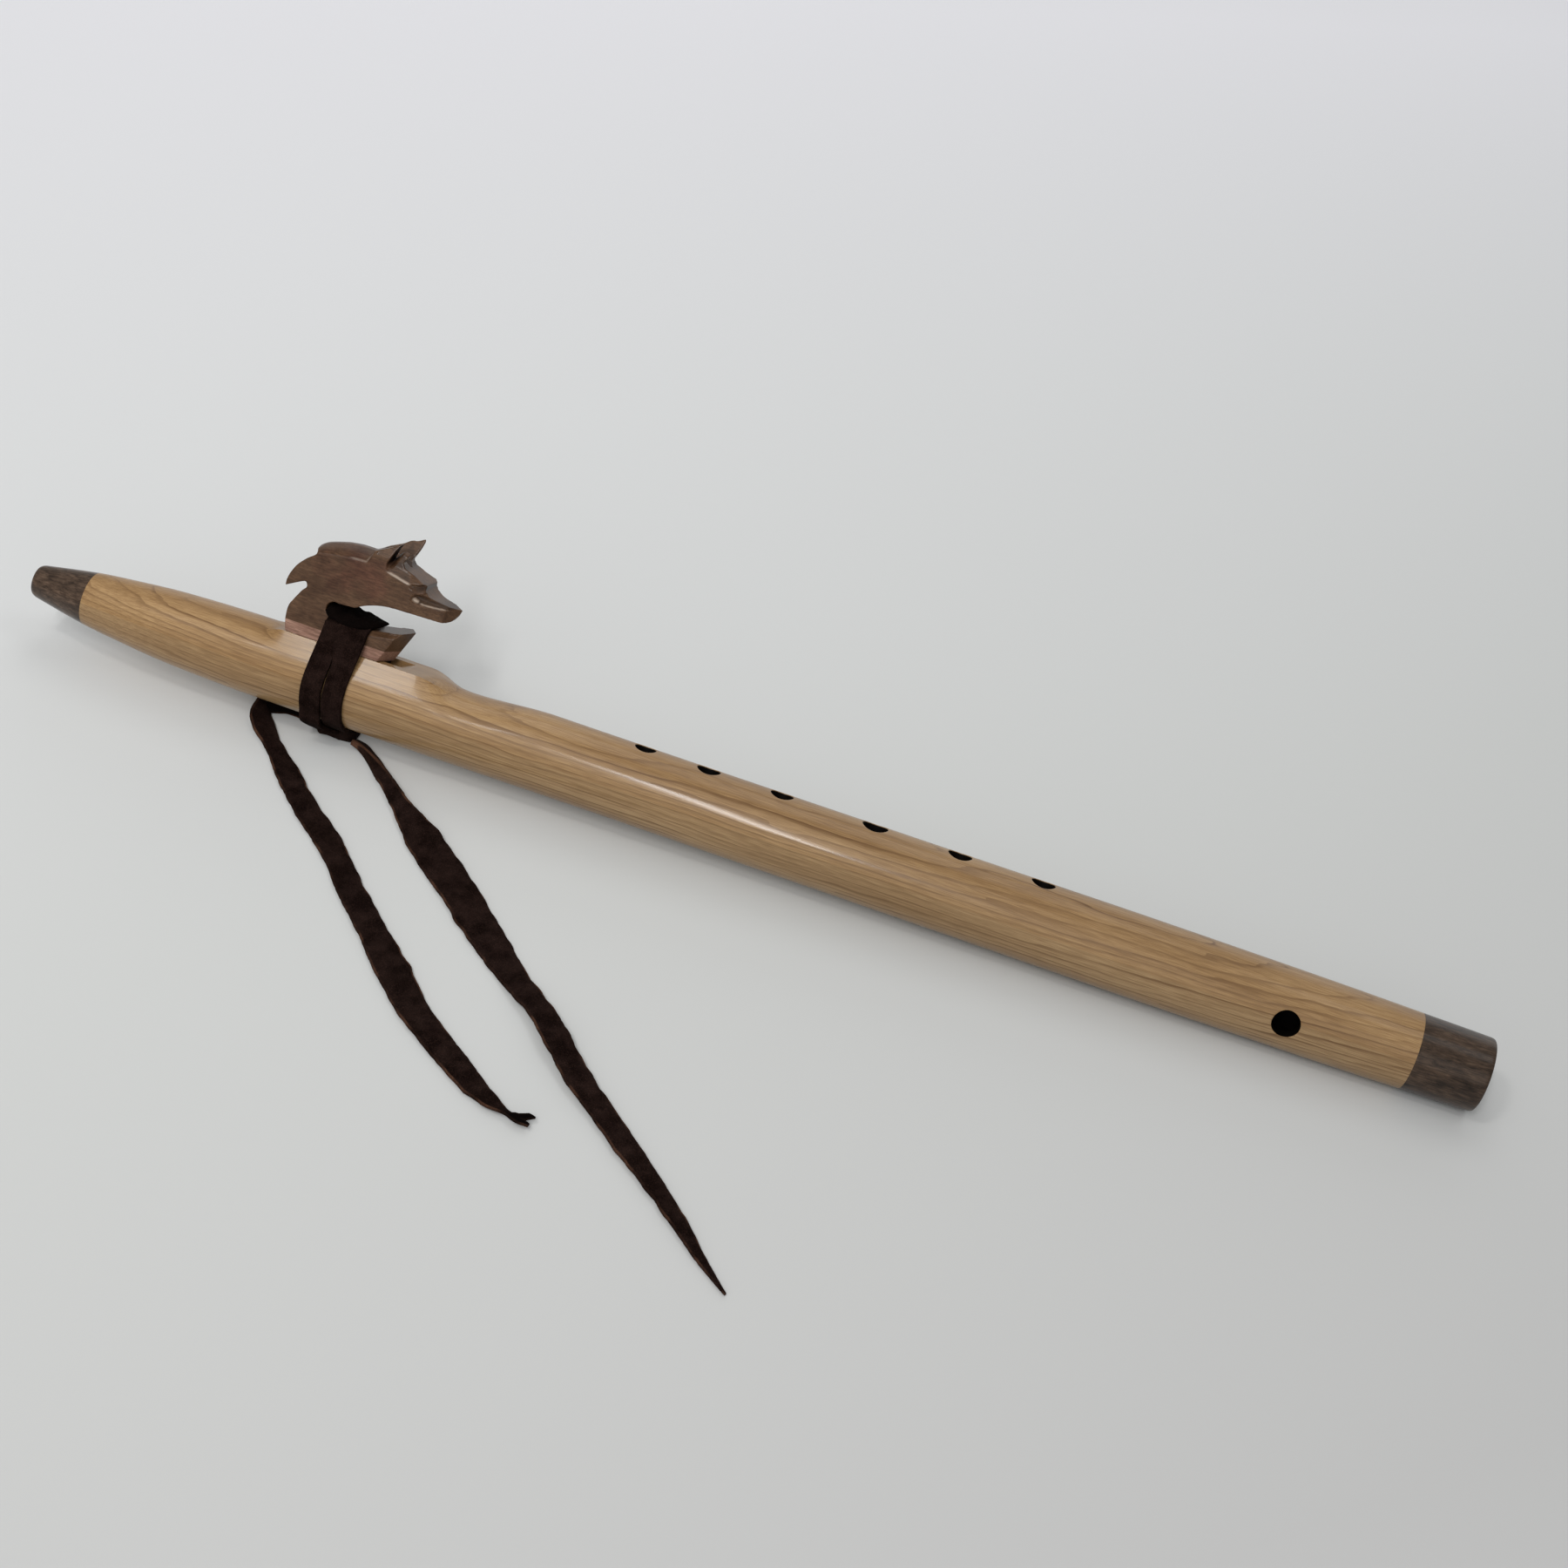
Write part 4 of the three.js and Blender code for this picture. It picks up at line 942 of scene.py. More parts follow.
def carved_tones(tree, colour, place, grain, heart):
    """Reddish heart and olive edges, painted shade in the hollows, painted highlights on the ridges."""
    axes = wire(tree, "SeparateXYZ", {0: place}).outputs
    reach = []
    for axis, middle, spread in zip("XZ", heart, heart_reach):
        share = work_out(tree, "DIVIDE", work_out(tree, "SUBTRACT", axes[axis], middle), spread)
        reach.append(work_out(tree, "MULTIPLY", share, share))
    ragged = work_out(tree, "MULTIPLY", speckle(tree, place, 0.12, 3), 1.1)
    away = sum_of(tree, *reach, ragged)
    tint = ramp(tree, away, [(0.55, (0.58, 0.47, 0.43)), (0.98, (0.62, 0.62, 0.53))])
    colour = blend_colours(tree, 1.0, colour, tint, "MULTIPLY")
    colour = blend_colours(tree, 1.0, colour, (0.52, 0.52, 0.52), "DIVIDE")
    # Painted shade: the crease, hollows, eye and lip are blended towards near black.
    painted_hollow_shade = wire(tree, "Attribute", attribute_name="painted_hollow_shade").outputs["Fac"]
    colour = blend_colours(tree, painted_hollow_shade, colour, (0.004, 0.002, 0.0012))
    # Painted highlight: the ridges are blended towards a pale tan, broken by the grain.
    painted_highlight = wire(tree, "Attribute", attribute_name="painted_highlight").outputs["Fac"]
    grain_broken_highlight = work_out(tree, "MULTIPLY", painted_highlight, ramp(tree, grain, [(0.3, 0.55), (0.6, 1.0)]))
    return blend_colours(tree, grain_broken_highlight, colour, (0.5, 0.4, 0.32))


print("the reddish heart fades about", heart_reach, "mm from its middle")

# %% [markdown]
# Plain walnut needs only mottle, grain and pores. Where a heart is given, the tones of the
# carved block are laid over them before the colour reaches the shader.

# %% Walnut finishes
def walnut_finish(name, dark, light, mottle_scale, grain_scale, gloss, heart=None):
    finish, tree, shader = new_finish(name, gloss)
    place = flute_millimetres(tree)
    mottle = speckle(tree, stretched(tree, place, mottle_scale), 1.0, 4, 0.65, 0.6)
    wood = ramp(tree, mottle, [(0.3, dark), (0.7, light)])
    grain = speckle(tree, stretched(tree, place, grain_scale), 1.0, 3, 0.6)
    grain_tone = ramp(tree, grain, [(0.38, 0.12), (0.62, 0.72)])
    lined = blend_colours(tree, 0.55 if heart is None else 0.4, wood, grain_tone, "SOFT_LIGHT")
    pores = speckle(tree, stretched(tree, place, [2.2 * g for g in grain_scale]), 1.0, 1)
    pores = ramp(tree, pores, [(0.62, 0.0), (0.7, 1.0)])
    pore_colour = tuple(0.35 * c for c in dark)
    pored = blend_colours(tree, work_out(tree, "MULTIPLY", pores, 0.5), lined, pore_colour)
    if heart is not None:
        pored = carved_tones(tree, pored, place, grain, heart)
    tree.links.new(pored, shader.inputs["Base Color"])
    rough = work_out(tree, "ADD", work_out(tree, "MULTIPLY", mottle, 0.2), gloss - 0.1)
    tree.links.new(rough, shader.inputs["Roughness"])
    bump = wire(tree, "Bump", {"Height": grain, "Strength": 0.15, "Distance": 0.0002})
    tree.links.new(bump.outputs[0], shader.inputs["Normal"])
    shader.inputs["IOR"].default_value = 1.25
    shader.inputs["Coat Weight"].default_value = 0.35 if heart is None else 0.2
    shader.inputs["Coat Roughness"].default_value = 0.17
    shader.inputs["Coat IOR"].default_value = 1.4
    return finish


cap_grain = dict(mottle_scale=(0.12, 0.3, 0.3), grain_scale=(0.16, 1.6, 1.6), gloss=0.34)
mouth_walnut = walnut_finish(
    "mouth_walnut", (0.028, 0.017, 0.011), (0.115, 0.073, 0.049), **cap_grain
)
foot_walnut = walnut_finish(
    "foot_walnut", (0.018, 0.0105, 0.0065), (0.077, 0.048, 0.031), **cap_grain
)
print("walnut for both caps is ready")


# %% [markdown]
# Each cap is one closed profile turned about the flute's axis: the blow hole or the bore
# inside, the tenon that sits in the body, and the body's own outline outside. A closed profile
# needs no Boolean, and its edges come out clean.

# %% Caps
def outline_between(start, end, steps):
    return [(x, float(radius_at(x))) for x in np.linspace(start, end, steps)]


blow_hole, mouth_cap_end, mouth_tenon, mouth_tenon_end = 2.25, 21.86, 7.1, 28.8
foot_cap_start, foot_tenon, foot_tenon_start = 554.94, 12.5, 549.0
mouth_cap = revolved(
    "mouth_cap",
    [(0.75, blow_hole), (0.2, blow_hole + 0.12), (0.0, blow_hole + 0.55), (0.0, 5.1)]
    + outline_between(0.06, 2.0, 10)
    + outline_between(3.0, mouth_cap_end, 22)
    + [(mouth_cap_end, mouth_tenon), (mouth_tenon_end, mouth_tenon), (mouth_tenon_end, blow_hole)],
    112, True, mouth_walnut,
)
foot_cap = revolved(
    "foot_cap_sleeve",
    [(foot_tenon_start, sound_bore), (foot_tenon_start, foot_tenon), (foot_cap_start, foot_tenon)]
    + outline_between(foot_cap_start, 581.0, 20)
    + outline_between(581.5, flute_length, 14)
    + [(584.0, 13.2), (584.0, sound_bore + 0.8), (583.8, sound_bore + 0.3), (583.2, sound_bore)],
    112, True, foot_walnut,
)
for cap, node in ((mouth_cap, "mouthpiece_cap"), (foot_cap, "foot_cap")):
    edges_by_angle(cap, 50)
    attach(cap, "flute")
    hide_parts(node)
    print(cap.name, len(cap.data.polygons), "faces")

# %% [markdown]
# ## Carved bird
# On these flutes the bird is the block that is tied over the air channel, here a wolf's
# head. The carver saws the side view out of a board, cuts the slot for the lace and then
# works the edges down with a knife. The next cells do the same: a sawn block, then straight
# cuts and the relief of the face, and last a fine remesh with some smoothing. Sculpting by
# hand would be freer, but it can't be repeated from a script.

# %% Side view of the bird
bird_back, bird_length, bird_height, bird_half_width = 95.5, 64.7, 47.7, 9.3
head_shares = [
    (0.062, 0.000, 1), (0.048, 0.078, 0), (0.043, 0.151, 0), (0.048, 0.214, 0), (0.065, 0.264, 0),
    (0.102, 0.356, 0), (0.124, 0.392, 0), (0.117, 0.426, 0), (0.099, 0.430, 0), (0.000, 0.354, 1),
    (0.005, 0.432, 0), (0.036, 0.532, 0), (0.085, 0.612, 0), (0.131, 0.665, 0), (0.133, 0.694, 0),
    (0.110, 0.715, 1), (0.134, 0.742, 0), (0.175, 0.765, 0), (0.258, 0.799, 0), (0.338, 0.816, 0),
    (0.422, 0.818, 1), (0.473, 0.857, 0), (0.544, 0.910, 0), (0.581, 0.948, 0), (0.623, 0.966, 0),
    (0.663, 1.000, 1), (0.666, 0.971, 0), (0.648, 0.887, 0), (0.624, 0.816, 1), (0.643, 0.778, 1),
    (0.703, 0.748, 0), (0.791, 0.700, 1), (0.790, 0.662, 1), (0.827, 0.618, 0), (0.896, 0.595, 0),
    (1.000, 0.574, 1), (0.989, 0.528, 0), (0.963, 0.472, 1), (0.926, 0.451, 0), (0.830, 0.453, 0),
    (0.730, 0.457, 0), (0.634, 0.453, 0), (0.556, 0.436, 0), (0.479, 0.400, 0), (0.425, 0.358, 1),
]


def bird_x(share):
    return bird_back + bird_length * share


def bird_z(share):
    return nest_height + bird_height * share


def drawn_outline(shares):
    """Smooth runs between the points marked as corners."""
    corners = [k for k, (_, _, corner) in enumerate(shares) if corner]
    drawn = []
    for start, end in zip(corners, corners[1:]):
        run = [(bird_x(a), bird_z(b)) for a, b, _ in shares[start : end + 1]]
        line = smooth_line(run, 0.7) if len(run) > 2 else np.array(run)
        drawn += [tuple(p) for p in line[:-1]]
    drawn.append((bird_x(shares[corners[-1]][0]), bird_z(shares[corners[-1]][1])))
    return drawn


saddle_height, prow_top, prow_lean, prow_depth = 13.3, 49.9, 5.8, 3.7
saddle_top = nest_height + saddle_height
lace_hole_x, lace_hole_z, lace_hole_radius, lace_slot = 115.5, saddle_top + 0.6, 2.9, 3.2
saddle_dip, dip_start, dip_end = 25.3, 118.5, 129.5
prow_x = bird_back + prow_top
block_outline = drawn_outline(head_shares) + [
    (lace_hole_x, saddle_top + lace_slot), (lace_hole_x, lace_hole_z - lace_hole_radius),
    (dip_start, saddle_dip), (dip_end, saddle_dip), (prow_x, saddle_top),
    (prow_x - prow_lean, nest_height + 0.1),
]
block_outline[0] = (block_outline[0][0], nest_height + 0.1)
block = prism("bird_block", block_outline, 0, 2, -bird_half_width, bird_half_width)
side_reach = bird_half_width + 1
print("bird outline of", len(block_outline), "points")

# %% [markdown]
# A knife cut is a half space, so each cutter is a simple prism, and most of them come in
# pairs, one for each side of the head. They open the slot and the round hole for the lace,
# bevel the saddle's edges, point the prow and lean the head's flanks in towards the ears.

# %% Slot, bevels and hole for the lace
cuts = []


def through(name, rings):
    """A solid through several polygons of equal count, in the flute's millimetres."""
    faces = skin(len(rings), len(rings[0]))
    return outward(new_piece(name, on_flute(np.concatenate(rings)), faces))


w = bird_half_width
head_top = bird_z(1) + 1
slot_end = prow_x + 1
bevel_wide, bevel_high = 2.6, 1.7
slot = [
    (lace_hole_x, lace_hole_z - lace_hole_radius), (dip_start, saddle_dip), (dip_end, saddle_dip),
    (prow_x, saddle_top), (slot_end, saddle_top), (slot_end, saddle_top + lace_slot),
    (lace_hole_x, saddle_top + lace_slot),
]
cuts.append(prism("cut", slot, 0, 2, -side_reach, side_reach))
for side in (1, -1):
    rings = []
    for x, z in ((lace_hole_x, saddle_dip), (dip_end, saddle_dip), (slot_end, saddle_top)):
        low = z - bevel_high
        rings.append([(x, side * (w - bevel_wide - 0.1), z + 0.1), (x, side * (w + 0.1), low),
                      (x, side * side_reach, low), (x, side * side_reach, z + 0.1)])
    cuts.append(through("cut", rings))
hole_turns = np.linspace(0, 2 * math.pi, 40, endpoint=False)
cuts.append(prism("cut", [(lace_hole_x + lace_hole_radius * math.cos(a),
                           lace_hole_z + lace_hole_radius * math.sin(a)) for a in hole_turns],
                  0, 2, -side_reach, side_reach))


print(len(cuts), "cuts where the lace passes")

# %% [markdown]
# The prow is pointed in plan by two leaning planes. The flanks of the head lean in towards
# the top, and one more cut parts the two ears from each other.

# %% Prow and ears
def cut_pair(points, start, end):
    """One cut drawn on the section, and its mirror image on the other side of the head."""
    for side in (1, -1):
        cuts.append(prism("cut", [(side * a, b) for a, b in points], 1, 2, start, end))


def prow_cut(side):
    """Leaning plane that makes the prow pointed in plan."""
    foot = bird_back + prow_top - prow_lean
    far = foot + bird_length
    outside = (side_reach + 1) * side
    plan = [(foot + 0.1, 0), (foot - prow_depth, bird_half_width * side),
            (foot - prow_depth - 1, outside), (far, outside), (far, 0)]
    points = []
    for level in (-0.5, saddle_height + 0.5):
        shift = prow_lean / saddle_height * level
        points += [(x + shift, y, nest_height + level) for x, y in plan]
    return outward(new_piece("cut", on_flute(points), skin(2, len(plan))))


cuts += [prow_cut(1), prow_cut(-1)]
ear_foot, ear_start, ear_end = bird_z(0.82), bird_x(0.47), bird_x(0.68)
ear_outside, ear_inside = w * 0.64, w * 0.36
cut_pair([(w, ear_foot), (side_reach, ear_foot), (side_reach, head_top), (ear_outside, head_top)],
         ear_start, bird_x(1))
cuts.append(prism(
    "cut",
    [(0, bird_z(0.77)), (ear_inside, ear_foot), (ear_outside, head_top), (-ear_outside, head_top),
     (-ear_inside, ear_foot)],
    1, 2, ear_start, ear_end,
))
print(len(cuts), "knife cuts")

# %% [markdown]
# The face is low relief: the carver leaves the cheek flat and sinks the mane's edge, the
# hollow behind the ear, the eye and the lip below it. Such a relief is a depth for each place
# of the side view, so a fine grid is bent to those depths and used as one big cutter. First
# come the outlines that the knife follows.

# %% Outlines of the relief
def shares_to_mm(corners):
    return [(bird_x(a), bird_z(b)) for a, b in corners]


def inside_by(x, z, corners):
    """How far each place lies inside a polygon, in mm; negative outside."""
    inside = np.zeros(x.shape, bool)
    least = np.full(x.shape, 1e9)
    for (x0, z0), (x1, z1) in zip(corners, corners[1:] + corners[:1]):
        run, rise = x1 - x0, z1 - z0
        t = np.clip(((x - x0) * run + (z - z0) * rise) / (run * run + rise * rise), 0, 1)
        least = np.minimum(least, np.hypot(x - x0 - t * run, z - z0 - t * rise))
        level = rise if abs(rise) > 1e-9 else 1e-9
        inside ^= ((z0 > z) != (z1 > z)) & (x < x0 + (z - z0) * run / level)
    return np.where(inside, least, -least)


hollow_rim = shares_to_mm([
    (0.542, 0.774), (0.549, 0.808), (0.571, 0.888), (0.586, 0.931), (0.604, 0.968), (0.625, 1.1),
    (1.1, 1.1), (1.1, 0.76), (0.836, 0.744), (0.753, 0.696), (0.716, 0.667), (0.681, 0.675),
    (0.639, 0.687), (0.589, 0.704), (0.547, 0.716),
])
eye_rim = shares_to_mm([
    (0.690, 0.672), (0.716, 0.688), (0.753, 0.697), (0.80, 0.722), (0.84, 0.746), (0.853, 0.74),
    (0.805, 0.66), (0.775, 0.634), (0.745, 0.632), (0.705, 0.648),
])
lip_rim = shares_to_mm([
    (0.718, 0.560), (0.756, 0.544), (0.781, 0.539), (0.854, 0.542), (0.956, 0.553), (1.02, 0.59),
    (0.984, 0.604), (0.903, 0.612), (0.778, 0.624), (0.742, 0.613),
])
snout_rim = shares_to_mm([
    (0.778, 0.630), (0.903, 0.613), (0.984, 0.605), (1.03, 0.60), (1.03, 0.80), (0.85, 0.80),
    (0.853, 0.742), (0.805, 0.662),
])
print("rims of", [len(rim) for rim in (hollow_rim, eye_rim, lip_rim, snout_rim)], "points")

# %% [markdown]
# The depths follow how such a face is cut: the muzzle tapers to the nose, the mane's top
# falls away to the crest, the hollow under the ear is scooped from the brow's ridge upward,
# and the eye and the lip are short slanted cuts. Their edges stay crisp.

# %% Depth of the mane and of the hollow under the ear
crest = np.array([(0.0, 0.66), (0.11, 0.715), (0.134, 0.742), (0.175, 0.765), (0.258, 0.799),
                  (0.338, 0.816), (0.422, 0.818), (0.473, 0.857)])
mane_foot = np.array([(0.1, 0.675), (0.32, 0.722), (0.43, 0.732)])
edge_start, edge_finish, edge_foot, edge_slant = 0.425, 0.437, 0.731, 0.17
wall_height, wall_slope, floor_slope, top_start, top_slope = 3.4, 0.6, 0.2, 8.5, 1.1
groove_depth, brow_start = 3.6, 0.695


def lengths(*shares):
    return [bird_x(share) for share in shares]


def heights(*shares):
    return [bird_z(share) for share in shares]


def mane_depth(a, b):
    """Falls away from the mane's foot to the crest, as far as its slanted edge at the cheek."""
    low = np.interp(a, mane_foot[:, 0], mane_foot[:, 1])
    high = np.interp(a, crest[:, 0], crest[:, 1])
    up = np.maximum((b - low) / np.maximum(high - low, 0.02), 0)
    slant = (b - edge_foot) * edge_slant
    before_edge = 1 - smooth_step(a, edge_start + slant, edge_finish + slant)
    return w * (0.25 * up + 0.55 * up**2.2) * before_edge


def ear_hollow_depth(x, z, a, deepest):
    """A scoop above the brow's ridge with a groove beside the ear, and the brow before it."""
    ridge = z - (bird_z(0.716) + (bird_z(0.667) - bird_z(0.716)) * (a - 0.547) / 0.169)
    scoop = wall_slope * np.clip(ridge, 0, wall_height)
    scoop = scoop + floor_slope * np.maximum(ridge - wall_height, 0)
    scoop += top_slope * np.maximum(ridge - top_start, 0)
    ear = np.interp(z, heights(0.774, 0.808, 0.888, 0.968), lengths(0.542, 0.549, 0.571, 0.604))
    groove = groove_depth * (1 - smooth_step(x - ear, 0.3, 2.9)) * smooth_step(ridge, 1.5, 4.0)
    brow = 0.3 + 0.026 * (x - 141.8) + 0.85 * (z - 48.2)
    hollow = np.where(a < brow_start, scoop + groove, brow)
    return np.minimum(hollow, deepest) * smooth_step(inside_by(x, z, hollow_rim), 0, 0.4)


print("the mane sinks", round(float(mane_depth(0.3, 0.8)), 1), "mm near its crest")

# %% [markdown]
# The eye, the lip and the snout are small cuts with a slanted floor each. They are added to
# the larger forms, because the knife starts from what is already there.

# %% Depth of the eye, the lip and the snout
muzzle_start, muzzle_run, muzzle_taper = 0.72, 0.295, 0.58
nose_start, nose_half_width = 0.93, 4.9


def eye_depth(x, z, b):
    slanted = 0.2 + 1.5 * smooth_step(b, 0.635, 0.70)
    return slanted * smooth_step(inside_by(x, z, eye_rim), 0, 0.5)


def lip_depth(x, z, a):
    """Deeper from the mouth's line up to the lip's edge, and shallower again above it."""
    line = np.interp(a, [0.718, 0.756, 0.854, 0.956, 1.02],
                     heights(0.56, 0.544, 0.542, 0.553, 0.58))
    wide = np.interp(a, [0.718, 0.80, 0.98], [3.0, 2.0, 1.2])
    rise = np.clip(z - line, 0, None) / wide
    depth = 0.8 * wide * np.minimum(rise, 1) - 0.35 * np.clip(rise - 1, 0, 2) * wide
    return np.maximum(depth, 0.5) * smooth_step(inside_by(x, z, lip_rim), 0, 0.35)


def snout_depth(x, z, a):
    line = bird_z(0.624) + (bird_z(0.604) - bird_z(0.624)) * (a - 0.778) / 0.206
    return (0.1 + np.maximum(z - line, 0)) * smooth_step(inside_by(x, z, snout_rim), 0, 0.4)


def relief_depth(x, z, deepest):
    """Depth of the carving under the flat side, in mm; a and b are shares of length and height."""
    a, b = (x - bird_back) / bird_length, (z - nest_height) / bird_height
    muzzle = w * muzzle_taper * np.clip((a - muzzle_start) / muzzle_run, 0, 1)
    depth = np.maximum(muzzle, mane_depth(a, b))
    depth = np.maximum(depth, ear_hollow_depth(x, z, a, deepest))
    depth += eye_depth(x, z, b)
    depth += lip_depth(x, z, a)
    depth += snout_depth(x, z, a)
    nose = w - nose_half_width + (x - bird_x(nose_start))
    return np.maximum(depth, np.where(a > nose_start, nose, 0))


at_eye = relief_depth(np.array([bird_x(0.76)]), np.array([bird_z(0.66)]), w - 0.4)
print("the eye lies", round(float(at_eye[0]), 1), "mm deep")

# %% [markdown]
# One closed block for each side of the head carries the depths on its inner face. Taking it
# away together with the knife cuts is a single Boolean, quicker and safer than many.

# %% Relief as a cutter
def relief_cutter(side, deepest):
    """A block outside the head whose inner face is bent to the depths of the relief."""
    step = 0.36
    across = np.arange(bird_x(0.02), bird_x(1.06), step)
    height = np.arange(bird_z(0.42), bird_z(1.08), step)
    x, z = np.meshgrid(across, height, indexing="ij")
    depth = np.clip(relief_depth(x, z, deepest), 0, w - 0.3)
    back = np.where(depth > 0.03, w - depth, w + 0.3)
    front = np.full(x.shape, w + 1.5)
    layers = [np.stack([x, side * y, z], -1).reshape(-1, 3) for y in (front, back)]
    rows, columns = x.shape
    faces = []
    for layer in (0, 1):
        first = layer * rows * columns
        for i in range(rows - 1):
            for j in range(columns - 1):
                k = first + i * columns + j
                quad = (k, k + columns, k + columns + 1, k + 1)
                faces.append(quad if layer == 0 else quad[::-1])
    rim = [i * columns for i in range(rows)]
    rim += [(rows - 1) * columns + j for j in range(1, columns)]
    rim += [i * columns + columns - 1 for i in range(rows - 2, -1, -1)]
    rim += [j for j in range(columns - 2, 0, -1)]
    for here, ahead in zip(rim, rim[1:] + rim[:1]):
        faces.append((here, here + rows * columns, ahead + rows * columns, ahead))
    return outward(new_piece("relief", on_flute(np.concatenate(layers)), faces))


cuts += [relief_cutter(-1, w - 0.4), relief_cutter(1, 3.2)]
carve(block, cuts)
print("carved block", len(block.data.polygons), "faces")

# %% [markdown]
# Painted shade darkens the crease behind the ear and the deep hollows, and painted highlights brighten the ridges.
# Both follow the carving, so they are worked out from the same outlines and stored on the mesh's points, where the
# finish reads them. A ridge is a width, a strength and a line.

# %% Painted shade in the crease, painted highlights on the ridges
crease_rim = shares_to_mm([
    (0.538, 0.770), (0.545, 0.812), (0.567, 0.892), (0.582, 0.935), (0.606, 0.975), (0.618, 0.95),
    (0.606, 0.902), (0.600, 0.855), (0.578, 0.812), (0.555, 0.785),
])
painted_highlight_ridges = [
    (0.62, 0.75, shares_to_mm([(0.548, 0.722), (0.589, 0.711), (0.639, 0.696), (0.681, 0.683),
                               (0.714, 0.675)])),
    (0.8, 0.9, shares_to_mm([(0.732, 0.583), (0.752, 0.568), (0.775, 0.560)])),
    (0.4, 0.65, shares_to_mm([(0.775, 0.558), (0.80, 0.551), (0.86, 0.551), (0.955, 0.561)])),
    (0.5, 0.3, shares_to_mm([(0.32, 0.734), (0.37, 0.737), (0.425, 0.742), (0.437, 0.80)])),
    (0.7, 0.22, shares_to_mm([(0.625, 0.80), (0.638, 0.83), (0.632, 0.87)])),
]


def beside_line(x, z, line):
    """Distance from a line of points, and how far along it the nearest place is (0 to 1)."""
    least, along = np.full(x.shape, 1e9), np.zeros(x.shape)
    for n, ((x0, z0), (x1, z1)) in enumerate(zip(line, line[1:])):
        run, rise = x1 - x0, z1 - z0
        t = np.clip(((x - x0) * run + (z - z0) * rise) / (run * run + rise * rise), 0, 1)
        away = np.hypot(x - x0 - t * run, z - z0 - t * rise)
        along = np.where(away < least, (n + t) / (len(line) - 1), along)
        least = np.minimum(least, away)
    return least, along


def tones(piece):
    """How dark with painted shade and how bright with painted highlight the wood is at each point."""
    co = np.zeros(len(piece.data.vertices) * 3)
    piece.data.vertices.foreach_get("co", co)
    x, y, z = ((co.reshape(-1, 3) - np.array(mouth_centre)) @ np.array(turn) / mm).T
    inside = smooth_step(inside_by(x, z, crease_rim), -0.2, 0.5)
    below = smooth_step(y, -w + 0.25, -w + 1.2) * (y < 0.5)
    painted_hollow_shade = inside * below
    sunk = np.abs(y) < w - 0.2
    for amount, rim in ((0.3, hollow_rim[:5] + hollow_rim[10:]), (0.45, eye_rim), (0.5, lip_rim)):
        painted_hollow_shade = np.maximum(painted_hollow_shade, amount * smooth_step(inside_by(x, z, rim), 0.3, 1.2) * sunk)
    # Painted highlight along each ridge line.
    painted_highlight = np.zeros(len(x))
    for width, amount, line in painted_highlight_ridges:
        away, along = beside_line(x, z, line)
        ends = smooth_step(np.minimum(along, 1 - along), -0.02, 0.22)
        reach = 1.15 * width * (0.5 + 0.5 * ends)
        painted_highlight = np.maximum(painted_highlight, amount * ends * (1 - smooth_step(away, 0.05 * width, reach)))
    return painted_hollow_shade * (1 - painted_highlight), painted_highlight * (np.abs(y) > 2)


# Each ridge line carries a painted highlight.
print(len(painted_highlight_ridges), "ridges rubbed bright")

# %% [markdown]
# Sandpaper breaks every edge a little. A voxel remesh of 0.3 mm, rubbed with a few passes of
# smoothing, does the same to the whole block at once, which bevels couldn't do on such a cut
# up mesh. Then it is split into its two layers of wood, the carving and the reddish board.

# %% Sanding and the two layers
def sanded(piece, grain_size, passes):
    fine = piece.modifiers.new("fine", "REMESH")
    fine.mode = "VOXEL"
    fine.voxel_size = grain_size * mm
    rub = piece.modifiers.new("rub", "SMOOTH")
    rub.factor = 0.5
    rub.iterations = passes
    applied(piece)
    piece.data.shade_smooth()
    return piece


sanded(block, 0.3, 4)
layer_top = nest_height + 4.7
clear_of_block = dict(x_from=80, x_to=175, half_width=12)
carving_walnut = walnut_finish(
    "carving_walnut", (0.05, 0.024, 0.0145), (0.105, 0.057, 0.036), (0.09, 0.16, 0.16),
    (0.3, 2.0, 2.0), 0.4, heart=(120.0, 45.0),
)
layer_wood = walnut_finish(
    "layer_wood", (0.22, 0.115, 0.08), (0.34, 0.195, 0.14), (0.09, 0.2, 0.2), (0.12, 1.8, 1.8), 0.42
)
base_layer = block.copy()
base_layer.data = block.data.copy()
base_layer.name = "bird_layer"
bpy.context.scene.collection.objects.link(base_layer)
block.name = "wolf_head"
carve(block, [box_cutter(**clear_of_block, z_from=layer_top, z_to=80)], "INTERSECT")
carve(base_layer, [box_cutter(**clear_of_block, z_from=10, z_to=layer_top)], "INTERSECT")
for piece, wood, node, name in ((block, carving_walnut, "bird_carving", "carved_walnut"),
                                (base_layer, layer_wood, "bird_base", "base_wood")):
    edges_by_angle(piece, 60)
    piece.data.materials.clear()
    piece.data.materials.append(wood)
    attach(piece, "bird")
    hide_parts(node)
    print(piece.name, len(piece.data.polygons), "faces")
for values, name in zip(tones(block), ("painted_hollow_shade", "painted_highlight")):
    mark(block, values, name)

# %% [markdown]
# ## The tied lace
# The lace is wound twice round flute and bird. Pulled tight, it follows the shape that a
# rubber band would: round the tube, and straight from it to the saddle's corners. That line
# is found by asking, for each direction, which point reaches furthest out.

# %% Band round tube and saddle
lace_from, lace_wide, lace_thick, lace_pitch = 112.6, 8.1, 1.4, 8.6
lace_gap, layer_gap, lace_lean, top_shift, lace_turns = 0.3, 0.45, 1.5, 1.3, 2
seat_radius = float(radius_at(lace_from + lace_pitch * lace_turns))
saddle_corners = [(w - bevel_wide, saddle_dip), (w, saddle_dip - bevel_high),
                  (bevel_wide - w, saddle_dip), (-w, saddle_dip - bevel_high)]
full_turn = 2 * math.pi
path_start = math.radians(2)
path_end = full_turn * lace_turns - math.radians(46)
corner_low = saddle_top - 2.9
descent = math.atan2(w, corner_low) + math.acos(seat_radius / math.hypot(w, corner_low))


